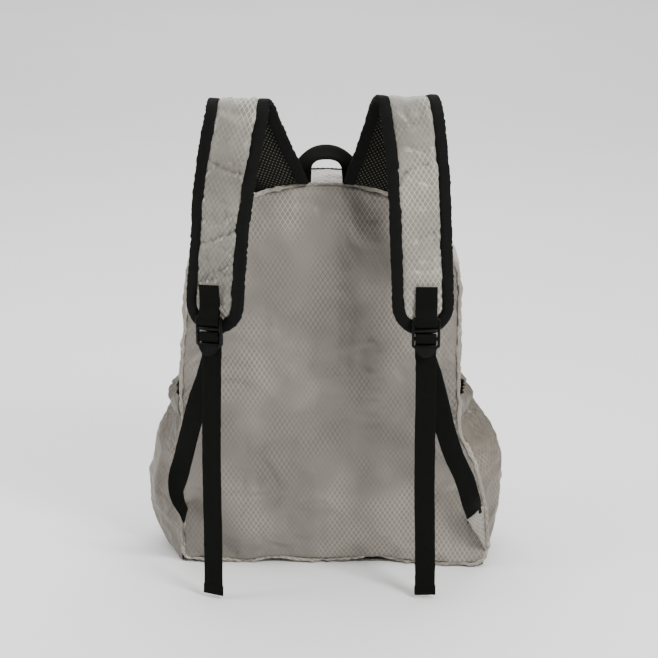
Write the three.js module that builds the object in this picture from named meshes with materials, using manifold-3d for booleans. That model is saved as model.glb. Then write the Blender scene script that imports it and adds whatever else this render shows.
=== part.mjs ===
// A packable daypack of thin ripstop cloth. It stands on its base with the shoulder straps to the viewer.
// Units are millimetres. +Z is up, +X is the viewer's right and +Y points away, from the back panel, which
// lies on the wearer's back, to the front panel. The origin is on the underside of the base.

import * as THREE from "three";
import Module from "manifold-3d";
import { mergeVertices } from "three/addons/utils/BufferGeometryUtils.js";

const { PI, abs, cos, hypot, max, min, pow, sign, sin, sqrt } = Math;
const wasm = await Module();
wasm.setup();

// Cloth shell
const BAG_HEIGHT = 407; // floor to the crown of the back seam
const HALF_WIDTH = 139; // middle to a straight side of the back seam
const SHOULDER_DROP = 115; // crown down to where the sides run straight
const ARCH_POWER = 2.2; // 2 is an ellipse, more is squarer
const BASE_DEPTH = 140; // back seam to front seam at the base
const TOP_DEPTH = 92; // the same at the crown
const TOP_LEAN = 10; // how far the crown of the back seam leans away from the viewer
const FRONT_DROP = 10; // how much lower the front seam's crown is
const FRONT_TUCK = 6; // how much narrower the front seam is on each side
const SIDE_FLARE = 33; // widest flare of the back seam, low on the right
const FRONT_FLARE = 15; // the same on the front seam
const CORNER_KICK = 14; // how far the lower right corner slumps towards the viewer
const HEM_LIFT = 4.5; // lowest edge of the upright panels above the floor
const HEM_RUFFLE = 5; // highest pucker of that edge
const HEM_CORNER = 9; // radius of the panels' lower corners
const BACK_BULGE = 15;
const FRONT_BULGE = 30;
const GUSSET_BULGE = 8;
const TOP_BULGE = 13;
const FOLD_DEPTH = 5; // deepest fold of a panel
const CLOTH = 1.5; // wall of every cloth panel
const SEAM_GAP = 0.4; // air between pieces that are sewn together
const WELT_RADIUS = 1.6; // bound seam allowance round each upright panel

// Main zip, along the top gusset
const ZIP_END = 0.27; // share of the hem's turn where the zip starts and ends
const ZIP_PLACE = 0.6; // share of the gusset's depth
const ZIP_TAPE = 26;
const ZIP_CHAIN = 6;
const CHAIN_RISE = 1.4;
const SLIDER_PLACE = 3; // facet of the zip on which the slider sits, counted from its start
const SLIDER_LENGTH = 12;
const SLIDER_WIDTH = 9;
const SLIDER_HEIGHT = 4;
const PULL_LENGTH = 24;
const PULL_WIDTH = 6;
const PULL_WALL = 1.8;

// Side pockets
const POCKET_HEIGHT = 161;
const POCKET_BULGE = 36;
const POCKET_FLOOR = 1.2; // pocket hem above the floor
const POCKET_INSET = 4; // pocket edges behind the back seam and before the front seam
const RIM_RIPPLE = 2.2; // gathers at the elastic rim
const RIM_GATHERS = 6;
const ELASTIC_HEIGHT = 22;
const ELASTIC_WALL = 3;
const ELASTIC_SWELL = 3.5; // how far the gathered channel stands out halfway up
const ELASTIC_DRAW = 4; // how far its top is drawn in

// Shoulder straps
const STRAP_WIDTH = 61;
const STRAP_MIDDLE = 4; // middle of the two strap roots, right of the origin
const ROOT_SPACING = 91.5; // between the middles of the two strap roots
const STRAP_RISE = { left: 92.5, right: 96 }; // root up to the top of the arch
const STRAP_HANG = 126.5; // root down to the rounded end
const STRAP_REACH = 97; // root to end, towards the viewer
const STRAP_SPREAD = { left: 63, right: 48.5 }; // how far further out the end lies than the root
const STRAP_ROLL = { left: 0.38, right: 0 }; // radians, outer edge turned away from the viewer
const EDGE_HALF = 2; // half the thickness of pad and mesh at the rim
const PAD_CROWN = 2.1; // how much the middle of the pad stands prouder
const MESH_WALL = 1.1;
const BINDING_WIDTH = 12;
const BINDING_WALL = 1.2;
const PIECE_GAP = 0.3; // air between layers that touch

// Webbing and ladder locks
const WEB_WIDTH = 20.5;
const WEB_WALL = 1.3;
const KEEPER_WIDTH = 21.6;
const KEEPER_RUN = 30; // stitched length on the strap, above the lock
const KEEPER_RETURN = 18;
const LOCK_WIDTH = 28;
const LOCK_NECK = 25; // width at the top bar
const LOCK_WALL = 4;
const LOCK_RAIL = 2.6;
const LOCK_ABOVE_END = 18; // top of the lock above the strap's end
const LOCK_SHIFT = 3; // lock further out than the strap's middle
const TOP_BAR = 8;
const KEEPER_SLOT = 3.5;
const GUARD_BAR = 3.5;
const WEB_SLOT = 4;
const GRIP_BAR = 4.5;
const TAB_BAR = 3;
const TAB_LENGTH = 10;
const TAB_WIDTH = 22;
const TAB_WALL = 2.4;
const TAB_TILT = 0.35; // radians, towards the viewer
const TAIL_CLEAR = 3.5; // tail end above the floor
const TAIL_DRIFT = 2.5;
const TAIL_HEM = 12;
const LEG_LIFT = 59; // where the anchored end of the webbing sits above the floor
const LEG_STAND = { left: 15, right: 17 }; // how far that end stands off the back seam
const LEG_INSET = { left: 3, right: 10.5 }; // from the back seam's side to the middle of that end
const LEG_TWIST = { left: 1.35, right: -0.7 }; // radians, at the anchored end
const LEG_TURN = { left: 0.62, right: 0.84 }; // share of the way down at which it starts to twist
const ANCHOR_LOW = 20; // lowest stitch of the cloth tab that anchors the webbing
const ANCHOR_HIGH = 68;

// Carry handle
const HANDLE_SPAN = 52;
const HANDLE_RISE = 30.5;
const HANDLE_WALL = 2;
const HANDLE_TIP = 0.58; // radians, how far the top of the loop tips towards the viewer
const HANDLE_POWER = 2.4;

// How far each side of the back seam flares and how strongly the front follows, from the floor up.
const FLARE = [
  { at: 0, left: 0.26, right: 0.82 },
  { at: 0.045, left: 0.26, right: 1 },
  { at: 0.11, left: 0.26, right: 0.99 },
  { at: 0.17, left: 0.25, right: 0.88 },
  { at: 0.25, left: 0.24, right: 0.68 },
  { at: 0.31, left: 0.23, right: 0.4 },
  { at: 0.36, left: 0.22, right: 0.09 },
  { at: 0.45, left: 0.21, right: 0.02 },
  { at: 0.55, left: 0.18, right: 0 },
  { at: 0.65, left: 0.04, right: 0 },
  { at: 0.72, left: 0, right: 0 },
];

// Puckers of the back panel's lower edge, from its left end to its right end.
const HEM_PUCKERS = [
  { at: 0, lift: 0.1 },
  { at: 0.07, lift: 0.5 },
  { at: 0.17, lift: 0.1 },
  { at: 0.26, lift: 0 },
  { at: 0.33, lift: 0.85 },
  { at: 0.42, lift: 0.3 },
  { at: 0.5, lift: 0.2 },
  { at: 0.6, lift: 0.55 },
  { at: 0.68, lift: 1 },
  { at: 0.75, lift: 0.2 },
  { at: 0.88, lift: 0 },
  { at: 1, lift: 0.2 },
];

// Folds and dents of the back panel: place and size as shares of its half width and height, the angle of
// the crease from level in degrees, and depth as a share of the deepest fold. A negative depth stands proud.
const BACK_FOLDS = [
  { x: 0.28, z: 0.7, length: 0.42, width: 0.16, angle: 78, depth: 1 },
  { x: 0.34, z: 0.42, length: 0.3, width: 0.16, angle: 95, depth: 0.55 },
  { x: -0.35, z: 0.52, length: 0.34, width: 0.1, angle: -52, depth: 0.6 },
  { x: -0.52, z: 0.32, length: 0.26, width: 0.07, angle: 12, depth: 0.7 },
  { x: -0.3, z: 0.26, length: 0.24, width: 0.07, angle: -48, depth: -0.5 },
  { x: -0.5, z: 0.16, length: 0.3, width: 0.08, angle: 28, depth: 0.55 },
  { x: 0.88, z: 0.2, length: 0.3, width: 0.12, angle: 60, depth: 0.8 },
  { x: 0.1, z: 0.12, length: 0.5, width: 0.1, angle: 4, depth: -0.45 },
];

// Pocket outline from its hem up: how far it stands out, as a share of the pocket's bulge.
const POCKET_SHAPE = [
  { at: 0, left: 0.22, right: 0.04 },
  { at: 0.05, left: 0.5, right: 0.12 },
  { at: 0.14, left: 0.68, right: 0.27 },
  { at: 0.22, left: 0.87, right: 0.35 },
  { at: 0.33, left: 1, right: 0.52 },
  { at: 0.45, left: 1.02, right: 0.67 },
  { at: 0.62, left: 0.87, right: 0.79 },
  { at: 0.7, left: 0.8, right: 0.81 },
  { at: 0.79, left: 0.71, right: 0.77 },
  { at: 0.9, left: 0.4, right: 0.5 },
  { at: 1, left: 0.2, right: 0.17 },
];

// The strap's middle line: shares of its rise, of its fall from the top to the end, of its reach, and of
// its spread on each side.
const STRAP_ROUTE = [
  { stop: "seam", rise: 0, fall: 0, reach: 0, left: 0, right: 0 },
  { stop: "low rear", rise: 0.36, fall: 0, reach: 0.17, left: 0.27, right: 0.25 },
  { stop: "high rear", rise: 0.7, fall: 0, reach: 0.31, left: 0.46, right: 0.45 },
  { stop: "before the top", rise: 0.93, fall: 0, reach: 0.43, left: 0.575, right: 0.56 },
  { stop: "top", rise: 1, fall: 0, reach: 0.56, left: 0.625, right: 0.68 },
  { stop: "past the top", rise: 1, fall: 0.05, reach: 0.68, left: 0.66, right: 0.76 },
  { stop: "shoulder", rise: 1, fall: 0.2, reach: 0.75, left: 0.76, right: 0.85 },
  { stop: "chest", rise: 1, fall: 0.4, reach: 0.82, left: 0.875, right: 0.92 },
  { stop: "ribs", rise: 1, fall: 0.65, reach: 0.91, left: 0.95, right: 0.965 },
  { stop: "keeper", rise: 1, fall: 0.84, reach: 0.97, left: 1, right: 1 },
  { stop: "end", rise: 1, fall: 1, reach: 1, left: 1, right: 1 },
];

// The webbing's route from the lock down to the corner of the bag: shares of its drop, of its way back to
// the seam, and of its way outwards on each side.
const LEG_ROUTE = [
  { drop: 0.13, back: 0.11, left: 0.2, right: 0.14 },
  { drop: 0.27, back: 0.24, left: 0.46, right: 0.26 },
  { drop: 0.44, back: 0.4, left: 0.71, right: 0.4 },
  { drop: 0.6, back: 0.56, left: 0.93, right: 0.57 },
  { drop: 0.74, back: 0.69, left: 1.13, right: 0.77 },
  { drop: 0.85, back: 0.8, left: 1.19, right: 0.88 },
  { drop: 0.93, back: 0.9, left: 1.1, right: 0.95 },
  { drop: 1, back: 1, left: 1, right: 1 },
];

const CLOTH_LOOK = { color: 0xa79f93, roughness: 0.62, metalness: 0 };
const WEBBING_LOOK = { color: 0x131411, roughness: 0.85, metalness: 0 };
const MESH_LOOK = { color: 0x1d1d19, roughness: 0.95, metalness: 0 };
const PLASTIC_LOOK = { color: 0x0d0d0d, roughness: 0.38, metalness: 0 };

const point = (x, y, z) => new THREE.Vector3(x, y, z);
const mix = (a, b, share) => a + (b - a) * share;
const ease = (low, high, value) => THREE.MathUtils.smoothstep(value, low, high);
const steps = (from, to, count) => Array.from({ length: count + 1 }, (_, k) => mix(from, to, k / count));
const sideName = (side) => (side < 0 ? "left" : "right");

// A smooth reading of one column of a table whose rows lie at "at".
function follow(table, column, at) {
  const last = table.length - 1;
  let k = 0;
  while (k < last - 1 && at > table[k + 1].at) k++;
  const span = table[k + 1].at - table[k].at;
  const share = min(max((at - table[k].at) / span, 0), 1);
  const slope = (row) => {
    const before = table[max(row - 1, 0)];
    const after = table[min(row + 1, last)];
    return (after[column] - before[column]) / (after.at - before.at);
  };
  const cube = share * share * (3 - 2 * share);
  const bend = share * (1 - share);
  const lead = slope(k) * (1 - share) - slope(k + 1) * share;
  return mix(table[k][column], table[k + 1][column], cube) + span * bend * lead;
}

// A closed geometry of welded points, its faces turned outwards.
function closedGeometry(points, triangles) {
  const found = new Map();
  const place = [];
  const coordinates = [];
  for (const p of points) {
    const key = p.toArray().map((value) => Math.round(value * 1000)).join();
    if (!found.has(key)) {
      found.set(key, found.size);
      coordinates.push(p.x, p.y, p.z);
    }
    place.push(found.get(key));
  }
  const corner = (i) => new THREE.Vector3().fromArray(coordinates, 3 * i);
  const faces = triangles.map((face) => face.map((i) => place[i])).filter((f) => new Set(f).size === 3);
  const volume = faces.reduce((sum, [a, b, c]) => sum + corner(a).dot(corner(b).cross(corner(c))), 0);
  const index = faces.flatMap(([a, b, c]) => (volume < 0 ? [a, c, b] : [a, b, c]));
  const geometry = new THREE.BufferGeometry();
  geometry.setAttribute("position", new THREE.Float32BufferAttribute(coordinates, 3));
  geometry.setIndex(index);
  geometry.computeVertexNormals();
  return geometry;
}

// A solid between two grids of points, upper[row][column] and lower[row][column]. A ring's rows close on
// themselves. A folded grid's last row meets itself, so it has no end face.
function slab(upper, lower, { ring = false, folded = false } = {}) {
  const rows = upper.length;
  const columns = upper[0].length;
  const points = [...upper.flat(), ...lower.flat()];
  const up = (row, column) => row * columns + (column % columns);
  const down = (row, column) => rows * columns + up(row, column);
  const triangles = [];
  const quad = (a, b, c, d) => triangles.push([a, b, c], [a, c, d]);
  const across = ring ? columns : columns - 1;
  for (let row = 0; row < rows - 1; row++) {
    for (let k = 0; k < across; k++) {
      quad(up(row, k), up(row, k + 1), up(row + 1, k + 1), up(row + 1, k));
      quad(down(row, k), down(row + 1, k), down(row + 1, k + 1), down(row, k + 1));
    }
    if (!ring) {
      quad(up(row, 0), up(row + 1, 0), down(row + 1, 0), down(row, 0));
      quad(up(row, across), down(row, across), down(row + 1, across), up(row + 1, across));
    }
  }
  for (let k = 0; k < across; k++) {
    quad(up(0, k), down(0, k), down(0, k + 1), up(0, k + 1));
    if (!folded) quad(up(rows - 1, k), up(rows - 1, k + 1), down(rows - 1, k + 1), down(rows - 1, k));
  }
  return closedGeometry(points, triangles);
}

// A sheet of the given wall under the surface place(u, v), on the side where the point inside lies.
function sheet(us, vs, place, wall, inside, raise = () => 0) {
  const reach = 1e-3;
  const frame = (u, v) => {
    const alongU = place(u + reach, v).sub(place(u - reach, v));
    const alongV = place(u, v + reach).sub(place(u, v - reach));
    const normal = alongU.cross(alongV).normalize();
    return normal.dot(place(u, v).sub(inside)) < 0 ? normal.negate() : normal;
  };
  const moved = (u, v, offset) => place(u, v).addScaledVector(frame(u, v), offset(u, v));
  const layer = (offset) => vs.map((v) => us.map((u) => moved(u, v, offset)));
  return slab(layer(raise), layer(() => -wall));
}

// A strip of the given width and wall along frames of { at, side, width, wall }, with flat ends.
function ribbon(frames) {
  const last = frames.length - 1;
  const edge = (frame, k, out) => {
    const before = frames[max(k - 1, 0)].at;
    const after = frames[min(k + 1, last)].at;
    const normal = after.clone().sub(before).cross(frame.side).normalize();
    const rise = out * (frame.wall / 2);
    return [-0.5, 0.5].map((share) =>
      frame.at.clone().addScaledVector(frame.side, share * frame.width).addScaledVector(normal, rise),
    );
  };
  return slab(frames.map((f, k) => edge(f, k, 1)), frames.map((f, k) => edge(f, k, -1)));
}

// The unit vector nearest to wanted that is square to along.
function squareTo(wanted, along) {
  return wanted.clone().addScaledVector(along, -wanted.dot(along)).normalize();
}

// Manifold solids, for the pieces that are joined or cut.
function toSolid(geometry) {
  const bare = geometry.clone();
  const extras = Object.keys(bare.attributes).filter((name) => name !== "position");
  extras.forEach((name) => bare.deleteAttribute(name));
  const merged = mergeVertices(bare, 1e-4);
  const vertProperties = merged.attributes.position.array;
  const triVerts = new Uint32Array(merged.index.array);
  return new wasm.Manifold(new wasm.Mesh({ numProp: 3, vertProperties, triVerts }));
}

function fromSolid(solid) {
  const { vertProperties, triVerts } = solid.getMesh();
  const geometry = new THREE.BufferGeometry();
  geometry.setAttribute("position", new THREE.BufferAttribute(vertProperties, 3));
  geometry.setIndex(new THREE.BufferAttribute(triVerts, 1));
  geometry.computeVertexNormals();
  return geometry;
}

// Hems: the lines where the gusset meets the back panel (front 0) and the front panel (front 1).
const SIDE_TURN = 0.3; // share of a hem's turn that one straight side takes
const hemFoot = CLOTH + SEAM_GAP;
const crownOf = (front) => BAG_HEIGHT - front * FRONT_DROP;
const reachOf = (front) => HALF_WIDTH - front * FRONT_TUCK;
const arched = (value) => sign(value) * pow(abs(value), 2 / ARCH_POWER);

function depthAt(x, z, front) {
  const height = z / BAG_HEIGHT;
  const back = -BASE_DEPTH / 2 + TOP_LEAN * pow(height, 1.5);
  const kick = CORNER_KICK * ease(0.35, 1.15, x / HALF_WIDTH) * pow(max(1 - height / 0.3, 0), 2);
  const depth = mix(BASE_DEPTH, TOP_DEPTH, pow(height, 1.6));
  return front ? back + depth : back - kick;
}

function sideAt(z, side, front) {
  const flare = (front ? FRONT_FLARE : SIDE_FLARE) * follow(FLARE, sideName(side), z / BAG_HEIGHT);
  return side * (reachOf(front) + flare);
}

function crownHeight(x, front = 0) {
  const share = min(abs(x) / reachOf(front), 1);
  return crownOf(front) - SHOULDER_DROP * (1 - pow(1 - pow(share, ARCH_POWER), 1 / ARCH_POWER));
}

// A point of a hem and the way out from it. Turn runs from 0 at the lower left, over the crown, to 1.
function hemAt(turn, front, foot = hemFoot) {
  const shoulder = crownOf(front) - SHOULDER_DROP;
  const side = turn < 0.5 ? -1 : 1;
  const fromFoot = min(turn, 1 - turn);
  if (fromFoot <= SIDE_TURN) {
    const z = mix(foot, shoulder, fromFoot / SIDE_TURN);
    const x = sideAt(z, side, front);
    return { at: point(x, depthAt(x, z, front), z), out: point(side, 0, 0) };
  }
  const angle = PI * (1 - (turn - SIDE_TURN) / (1 - 2 * SIDE_TURN));
  const x = reachOf(front) * arched(cos(angle));
  const z = shoulder + SHOULDER_DROP * arched(sin(angle));
  const steepX = pow(abs(x) / reachOf(front), ARCH_POWER - 1) / reachOf(front);
  const steepZ = pow((z - shoulder) / SHOULDER_DROP, ARCH_POWER - 1) / SHOULDER_DROP;
  return { at: point(x, depthAt(x, z, front), z), out: point(sign(x) * steepX, 0, steepZ).normalize() };
}

// The gusset's surface: turn as for a hem, depth from 0 at the back hem to 1 at the front hem.
function gussetAt(turn, depth) {
  const back = hemAt(min(max(turn, 0), 1), 0);
  const front = hemAt(min(max(turn, 0), 1), 1);
  const swell = pow(sin(PI * min(max(depth, 0), 1)), 0.9);
  const bulge = mix(GUSSET_BULGE, TOP_BULGE, back.out.z * back.out.z) * swell;
  return back.at.lerp(front.at, depth).addScaledVector(back.out.add(front.out).normalize(), bulge);
}

const shellMiddle = point(0, 0, BAG_HEIGHT / 2);

// The closed rim of an upright panel, clockwise for the viewer, with puckers along its lower edge.
function rimPoints(front, sideCount, archCount, baseCount) {
  const foot = HEM_LIFT + HEM_CORNER;
  const turns = [
    ...steps(0, SIDE_TURN, sideCount),
    ...steps(SIDE_TURN, 1 - SIDE_TURN, archCount).slice(1, -1),
    ...steps(1 - SIDE_TURN, 1, sideCount),
  ];
  const hem = turns.map((turn) => hemAt(turn, front, foot).at);
  const left = hem[0].x + HEM_CORNER;
  const right = hem[hem.length - 1].x - HEM_CORNER;
  const corner = (centre, from, to) =>
    [0.33, 0.67].map((share) => {
      const angle = mix(from, to, share);
      const x = centre + HEM_CORNER * cos(angle);
      const z = foot + HEM_CORNER * sin(angle);
      return point(x, depthAt(x, z, front), z);
    });
  const edge = steps(1, 0, baseCount).map((share) => {
    const x = mix(left, right, share);
    const z = HEM_LIFT + HEM_RUFFLE * follow(HEM_PUCKERS, "lift", share);
    return point(x, depthAt(x, z, front), z);
  });
  return [...hem, ...corner(right, 0, -PI / 2), ...edge, ...corner(left, -PI / 2, -PI)];
}

// How deep the folds of a table press in at a point of a panel.
function foldAt(folds, x, z) {
  return folds.reduce((sum, fold) => {
    const angle = THREE.MathUtils.degToRad(fold.angle);
    const dx = x / HALF_WIDTH - fold.x;
    const dz = ((z / BAG_HEIGHT - fold.z) * BAG_HEIGHT) / HALF_WIDTH;
    const along = (dx * cos(angle) + dz * sin(angle)) / fold.length;
    const across = (dz * cos(angle) - dx * sin(angle)) / fold.width;
    return sum + fold.depth * Math.exp(-along * along - across * across);
  }, 0);
}

// How full a panel stands at a point, from 0 at its rim to 1 at its middle.
function fullness(x, z, front) {
  const shoulder = crownOf(front) - SHOULDER_DROP;
  const climb = min(max((z - shoulder) / SHOULDER_DROP, 0), 1);
  const narrowing = pow(1 - pow(climb, ARCH_POWER), 1 / ARCH_POWER);
  const [left, right] = [-1, 1].map((side) => sideAt(z, side, front) * narrowing);
  const across = (2 * (x - left)) / max(right - left, 1) - 1;
  const up = (2 * (z - HEM_LIFT)) / (crownHeight(x, front) - HEM_LIFT) - 1;
  const share = max(1 - pow(abs(across), 3), 0) * max(1 - pow(abs(up), 3), 0);
  return pow(share, 0.6);
}

// A domed panel filled from its rim to its middle. Out is -1 for the back panel and 1 for the front one.
function panel(rim, rings, bulge, folds, out) {
  const front = out > 0 ? 1 : 0;
  const middle = point(0, 0, BAG_HEIGHT * 0.45);
  const surface = (share) =>
    rim.map((edge) => {
      const x = mix(edge.x, middle.x, share);
      const z = mix(edge.z, middle.z, share);
      const full = share === 0 ? 0 : fullness(x, z, front);
      const dome = full * (bulge - FOLD_DEPTH * foldAt(folds, x, z));
      return point(x, mix(edge.y, depthAt(x, z, front), share) + out * dome, z);
    });
  const upper = rings.map(surface);
  const lower = upper.map((row) => row.map((p) => p.clone().add(point(0, -out * CLOTH, 0))));
  return slab(upper, lower, { ring: true, folded: true });
}

function backPanel() {
  const rings = [0, 0.06, 0.16, 0.3, 0.46, 0.62, 0.8, 1];
  return panel(rimPoints(0, 10, 16, 12), rings, BACK_BULGE, BACK_FOLDS, -1);
}

function frontPanel() {
  const rings = [0, 0.08, 0.24, 0.5, 1];
  return panel(rimPoints(1, 7, 14, 8), rings, FRONT_BULGE, [], 1);
}

// Depth share where the gusset's cloth starts, clear of the panel that closes it.
const gussetEdge = (CLOTH + SEAM_GAP) / TOP_DEPTH;

function sideGusset(side) {
  const turns = steps(0, ZIP_END, 12).map((turn) => (side < 0 ? turn : 1 - turn));
  return sheet(turns, steps(gussetEdge, 1 - gussetEdge, 6), gussetAt, CLOTH, shellMiddle);
}

const turnGap = SEAM_GAP / hypot(HALF_WIDTH, BAG_HEIGHT);
const topTurns = steps(ZIP_END + turnGap, 1 - ZIP_END - turnGap, 18);

const topStrip = (depths, raise) => sheet(topTurns, depths, gussetAt, CLOTH, shellMiddle, raise);

const tapeHalf = ZIP_TAPE / 2 / TOP_DEPTH;
const seamShare = SEAM_GAP / TOP_DEPTH;

function zipStrip() {
  const chain = ZIP_CHAIN / 2 / TOP_DEPTH;
  const flank = chain * 1.25;
  const depths = [-tapeHalf, -flank, -chain, chain, flank, tapeHalf].map((offset) => ZIP_PLACE + offset);
  const raise = (turn, depth) => (abs(depth - ZIP_PLACE) < chain * 1.1 ? CHAIN_RISE : 0);
  return topStrip(depths, raise);
}

// The frame of one facet of the zip: X along the zip and Z out of the bag, raised by the given amount.
function placedOnZip(facet, rise) {
  const [from, to] = topTurns.slice(facet, facet + 2).map((turn) => gussetAt(turn, ZIP_PLACE));
  const at = from.clone().lerp(to, 0.5);
  const along = to.sub(from).normalize();
  const turn = (topTurns[facet] + topTurns[facet + 1]) / 2;
  const across = squareTo(gussetAt(turn, ZIP_PLACE + 0.02).sub(gussetAt(turn, ZIP_PLACE - 0.02)), along);
  const up = across.clone().cross(along).normalize();
  const outward = up.dot(at.clone().sub(shellMiddle)) < 0 ? up.negate() : up;
  const matrix = new THREE.Matrix4().makeBasis(along, outward.clone().cross(along), outward);
  return matrix.setPosition(at.addScaledVector(outward, rise));
}

function box(width, depth, height, x, y, z) {
  return new THREE.BoxGeometry(width, depth, height).translate(x, y, z);
}

function zipSlider() {
  const body = box(SLIDER_LENGTH, SLIDER_WIDTH, SLIDER_HEIGHT, 0, 0, SLIDER_HEIGHT / 2);
  const bridge = box(SLIDER_LENGTH / 2, PULL_WALL, PULL_WALL * 2, 0, 0, SLIDER_HEIGHT + PULL_WALL / 2);
  const pull = box(PULL_LENGTH, PULL_WIDTH, PULL_WALL, PULL_LENGTH / 2, 0, SLIDER_HEIGHT + PULL_WALL);
  const joined = toSolid(body).add(toSolid(bridge)).add(toSolid(pull));
  return fromSolid(joined).applyMatrix4(placedOnZip(SLIDER_PLACE, CHAIN_RISE + PIECE_GAP));
}

// The base stands inside the hems, under the gusset's lower edges.
function basePanel() {
  const inset = CLOTH + SEAM_GAP;
  const depths = steps(gussetEdge, 1 - gussetEdge, 10);
  const left = depths.map((depth) => gussetAt(0, depth));
  const right = depths.map((depth) => gussetAt(1, depth)).reverse();
  const backEdge = steps(right[right.length - 1].x, left[0].x, 10)
    .slice(1, -1)
    .map((x) => point(x, depthAt(x, HEM_LIFT, 0) + inset, 0));
  const outline = [...left, ...right, ...backEdge].map((p) => new THREE.Vector2(p.x, p.y));
  return new THREE.ExtrudeGeometry(new THREE.Shape(outline), { depth: CLOTH, bevelEnabled: false });
}

// A bound seam: a thin round cord just outside the rim of a panel.
function welt(front) {
  const rim = front ? rimPoints(1, 7, 14, 8) : rimPoints(0, 10, 16, 12);
  const sides = steps(0, 2 * PI, 5).slice(0, -1);
  const count = rim.length;
  const ringAt = rim.map((p, k) => {
    const along = rim[(k + 1) % count].clone().sub(rim[(k - 1 + count) % count]);
    const out = point(-along.z, 0, along.x).normalize();
    const centre = p.clone().addScaledVector(out, WELT_RADIUS + SEAM_GAP);
    return sides.map((angle) => {
      const offset = out.clone().multiplyScalar(WELT_RADIUS * cos(angle));
      return centre.clone().add(offset).add(point(0, WELT_RADIUS * sin(angle), 0));
    });
  });
  return closedTube(ringAt);
}

// A tube whose last ring of points joins its first.
function closedTube(rings) {
  const sides = rings[0].length;
  const at = (ring, side) => (ring % rings.length) * sides + (side % sides);
  const triangles = [];
  rings.forEach((_, ring) => {
    for (let side = 0; side < sides; side++) {
      const corners = [at(ring, side), at(ring, side + 1), at(ring + 1, side + 1), at(ring + 1, side)];
      triangles.push([corners[0], corners[1], corners[2]], [corners[0], corners[2], corners[3]]);
    }
  });
  return closedGeometry(rings.flat(), triangles);
}

// Side pockets: u runs from the back seam to the front seam, h from the hem to the rim.
function pocketAt(side, u, h, proud = 0) {
  const clampedU = min(max(u, 0), 1);
  const z = POCKET_FLOOR + POCKET_HEIGHT * h;
  const onHem = max(z, hemFoot);
  const back = depthAt(sideAt(onHem, side, 0), onHem, 0) + POCKET_INSET;
  const front = depthAt(0, onHem, 1) - POCKET_INSET;
  const y = mix(back, front, u);
  const share = min(max((y - back + POCKET_INSET) / (front - back + 2 * POCKET_INSET), 0), 1);
  const cloth = mix(sideAt(onHem, side, 0), sideAt(onHem, side, 1), share);
  const gusset = abs(cloth) + GUSSET_BULGE * pow(sin(PI * share), 0.9);
  const arch = sin(PI * clampedU);
  const belly = POCKET_BULGE * follow(POCKET_SHAPE, sideName(side), min(h, 1)) * pow(arch, 0.75);
  const gather = RIM_RIPPLE * ease(0.8, 1, h) * arch * (1 + cos(2 * PI * RIM_GATHERS * clampedU));
  const clearance = CLOTH + 3 * SEAM_GAP;
  return point(side * (gusset + clearance + belly + gather + proud), y, z);
}

// Shares that crowd towards both ends.
const crowded = (count) => steps(0, 1, count).map((share) => (1 - cos(PI * share)) / 2);

function sidePocket(side) {
  const heights = [0, 0.05, 0.13, 0.22, 0.33, 0.45, 0.57, 0.68, 0.79, 0.9, 1];
  const inside = point(0, 0, POCKET_HEIGHT / 2);
  return sheet(crowded(12), heights, (u, h) => pocketAt(side, u, h), CLOTH, inside);
}

function pocketElastic(side) {
  const low = 1 + SEAM_GAP / POCKET_HEIGHT;
  const reach = ELASTIC_HEIGHT / POCKET_HEIGHT;
  const proud = (ELASTIC_WALL - CLOTH) / 2;
  const place = (u, h) => {
    const climb = (h - low) / reach;
    const roll = ELASTIC_SWELL * pow(sin(PI * climb), 2) - ELASTIC_DRAW * climb * climb;
    return pocketAt(side, u, h, proud + roll * sin(PI * min(max(u, 0), 1)));
  };
  const inside = point(0, 0, POCKET_HEIGHT);
  return sheet(crowded(14), steps(low, low + reach, 4), place, ELASTIC_WALL, inside);
}

// Shoulder straps. A strap is laid out in rows: straight ones across it, each at a length down its middle
// line, and at its rounded end rows that fan out from one centre. Along a row, reach is the distance from
// that middle line or centre.
const rootLift = 2 * (WELT_RADIUS + SEAM_GAP);
const padHalf = STRAP_WIDTH / 2 - BINDING_WALL - PIECE_GAP;
const innerFace = EDGE_HALF + 3 * PIECE_GAP;
const outerFace = innerFace + BINDING_WALL;
const boundReach = padHalf + PIECE_GAP + BINDING_WALL - BINDING_WIDTH;
const viewerRight = point(1, 0, 0);

// Height of a line that runs the given distance above the crown of the back seam.
function aboveSeam(x, distance) {
  const slope = (crownHeight(x + 1) - crownHeight(x - 1)) / 2;
  return crownHeight(x) + distance * hypot(1, slope);
}

function strapLine(side) {
  const rootX = STRAP_MIDDLE + (side * ROOT_SPACING) / 2;
  const rootZ = aboveSeam(rootX, rootLift);
  const name = sideName(side);
  const rise = STRAP_RISE[name];
  const stops = STRAP_ROUTE.map((stop) =>
    point(
      rootX + side * STRAP_SPREAD[name] * stop[name],
      depthAt(rootX, rootZ, 0) - STRAP_REACH * stop.reach,
      rootZ + rise * stop.rise - (rise + STRAP_HANG) * stop.fall,
    ),
  );
  const line = new THREE.CatmullRomCurve3(stops, false, "centripetal");
  line.arcLengthDivisions = 400;
  const length = line.getLength();
  const heights = steps(0, 1, 100).map((share) => line.getPointAt(share).z);
  return { side, line, length, top: heights.indexOf(max(...heights)) / 100 };
}

function strapFrame(strap, distance) {
  const share = min(distance / strap.length, 1);
  const heading = strap.line.getTangentAt(share);
  const roll = -strap.side * STRAP_ROLL[sideName(strap.side)] * ease(0.42, 0.75, share);
  const across = squareTo(viewerRight, heading).applyAxisAngle(heading, roll);
  const at = strap.line.getPointAt(share).addScaledVector(heading, distance - share * strap.length);
  return { at, heading, across, out: heading.clone().cross(across) };
}

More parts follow.
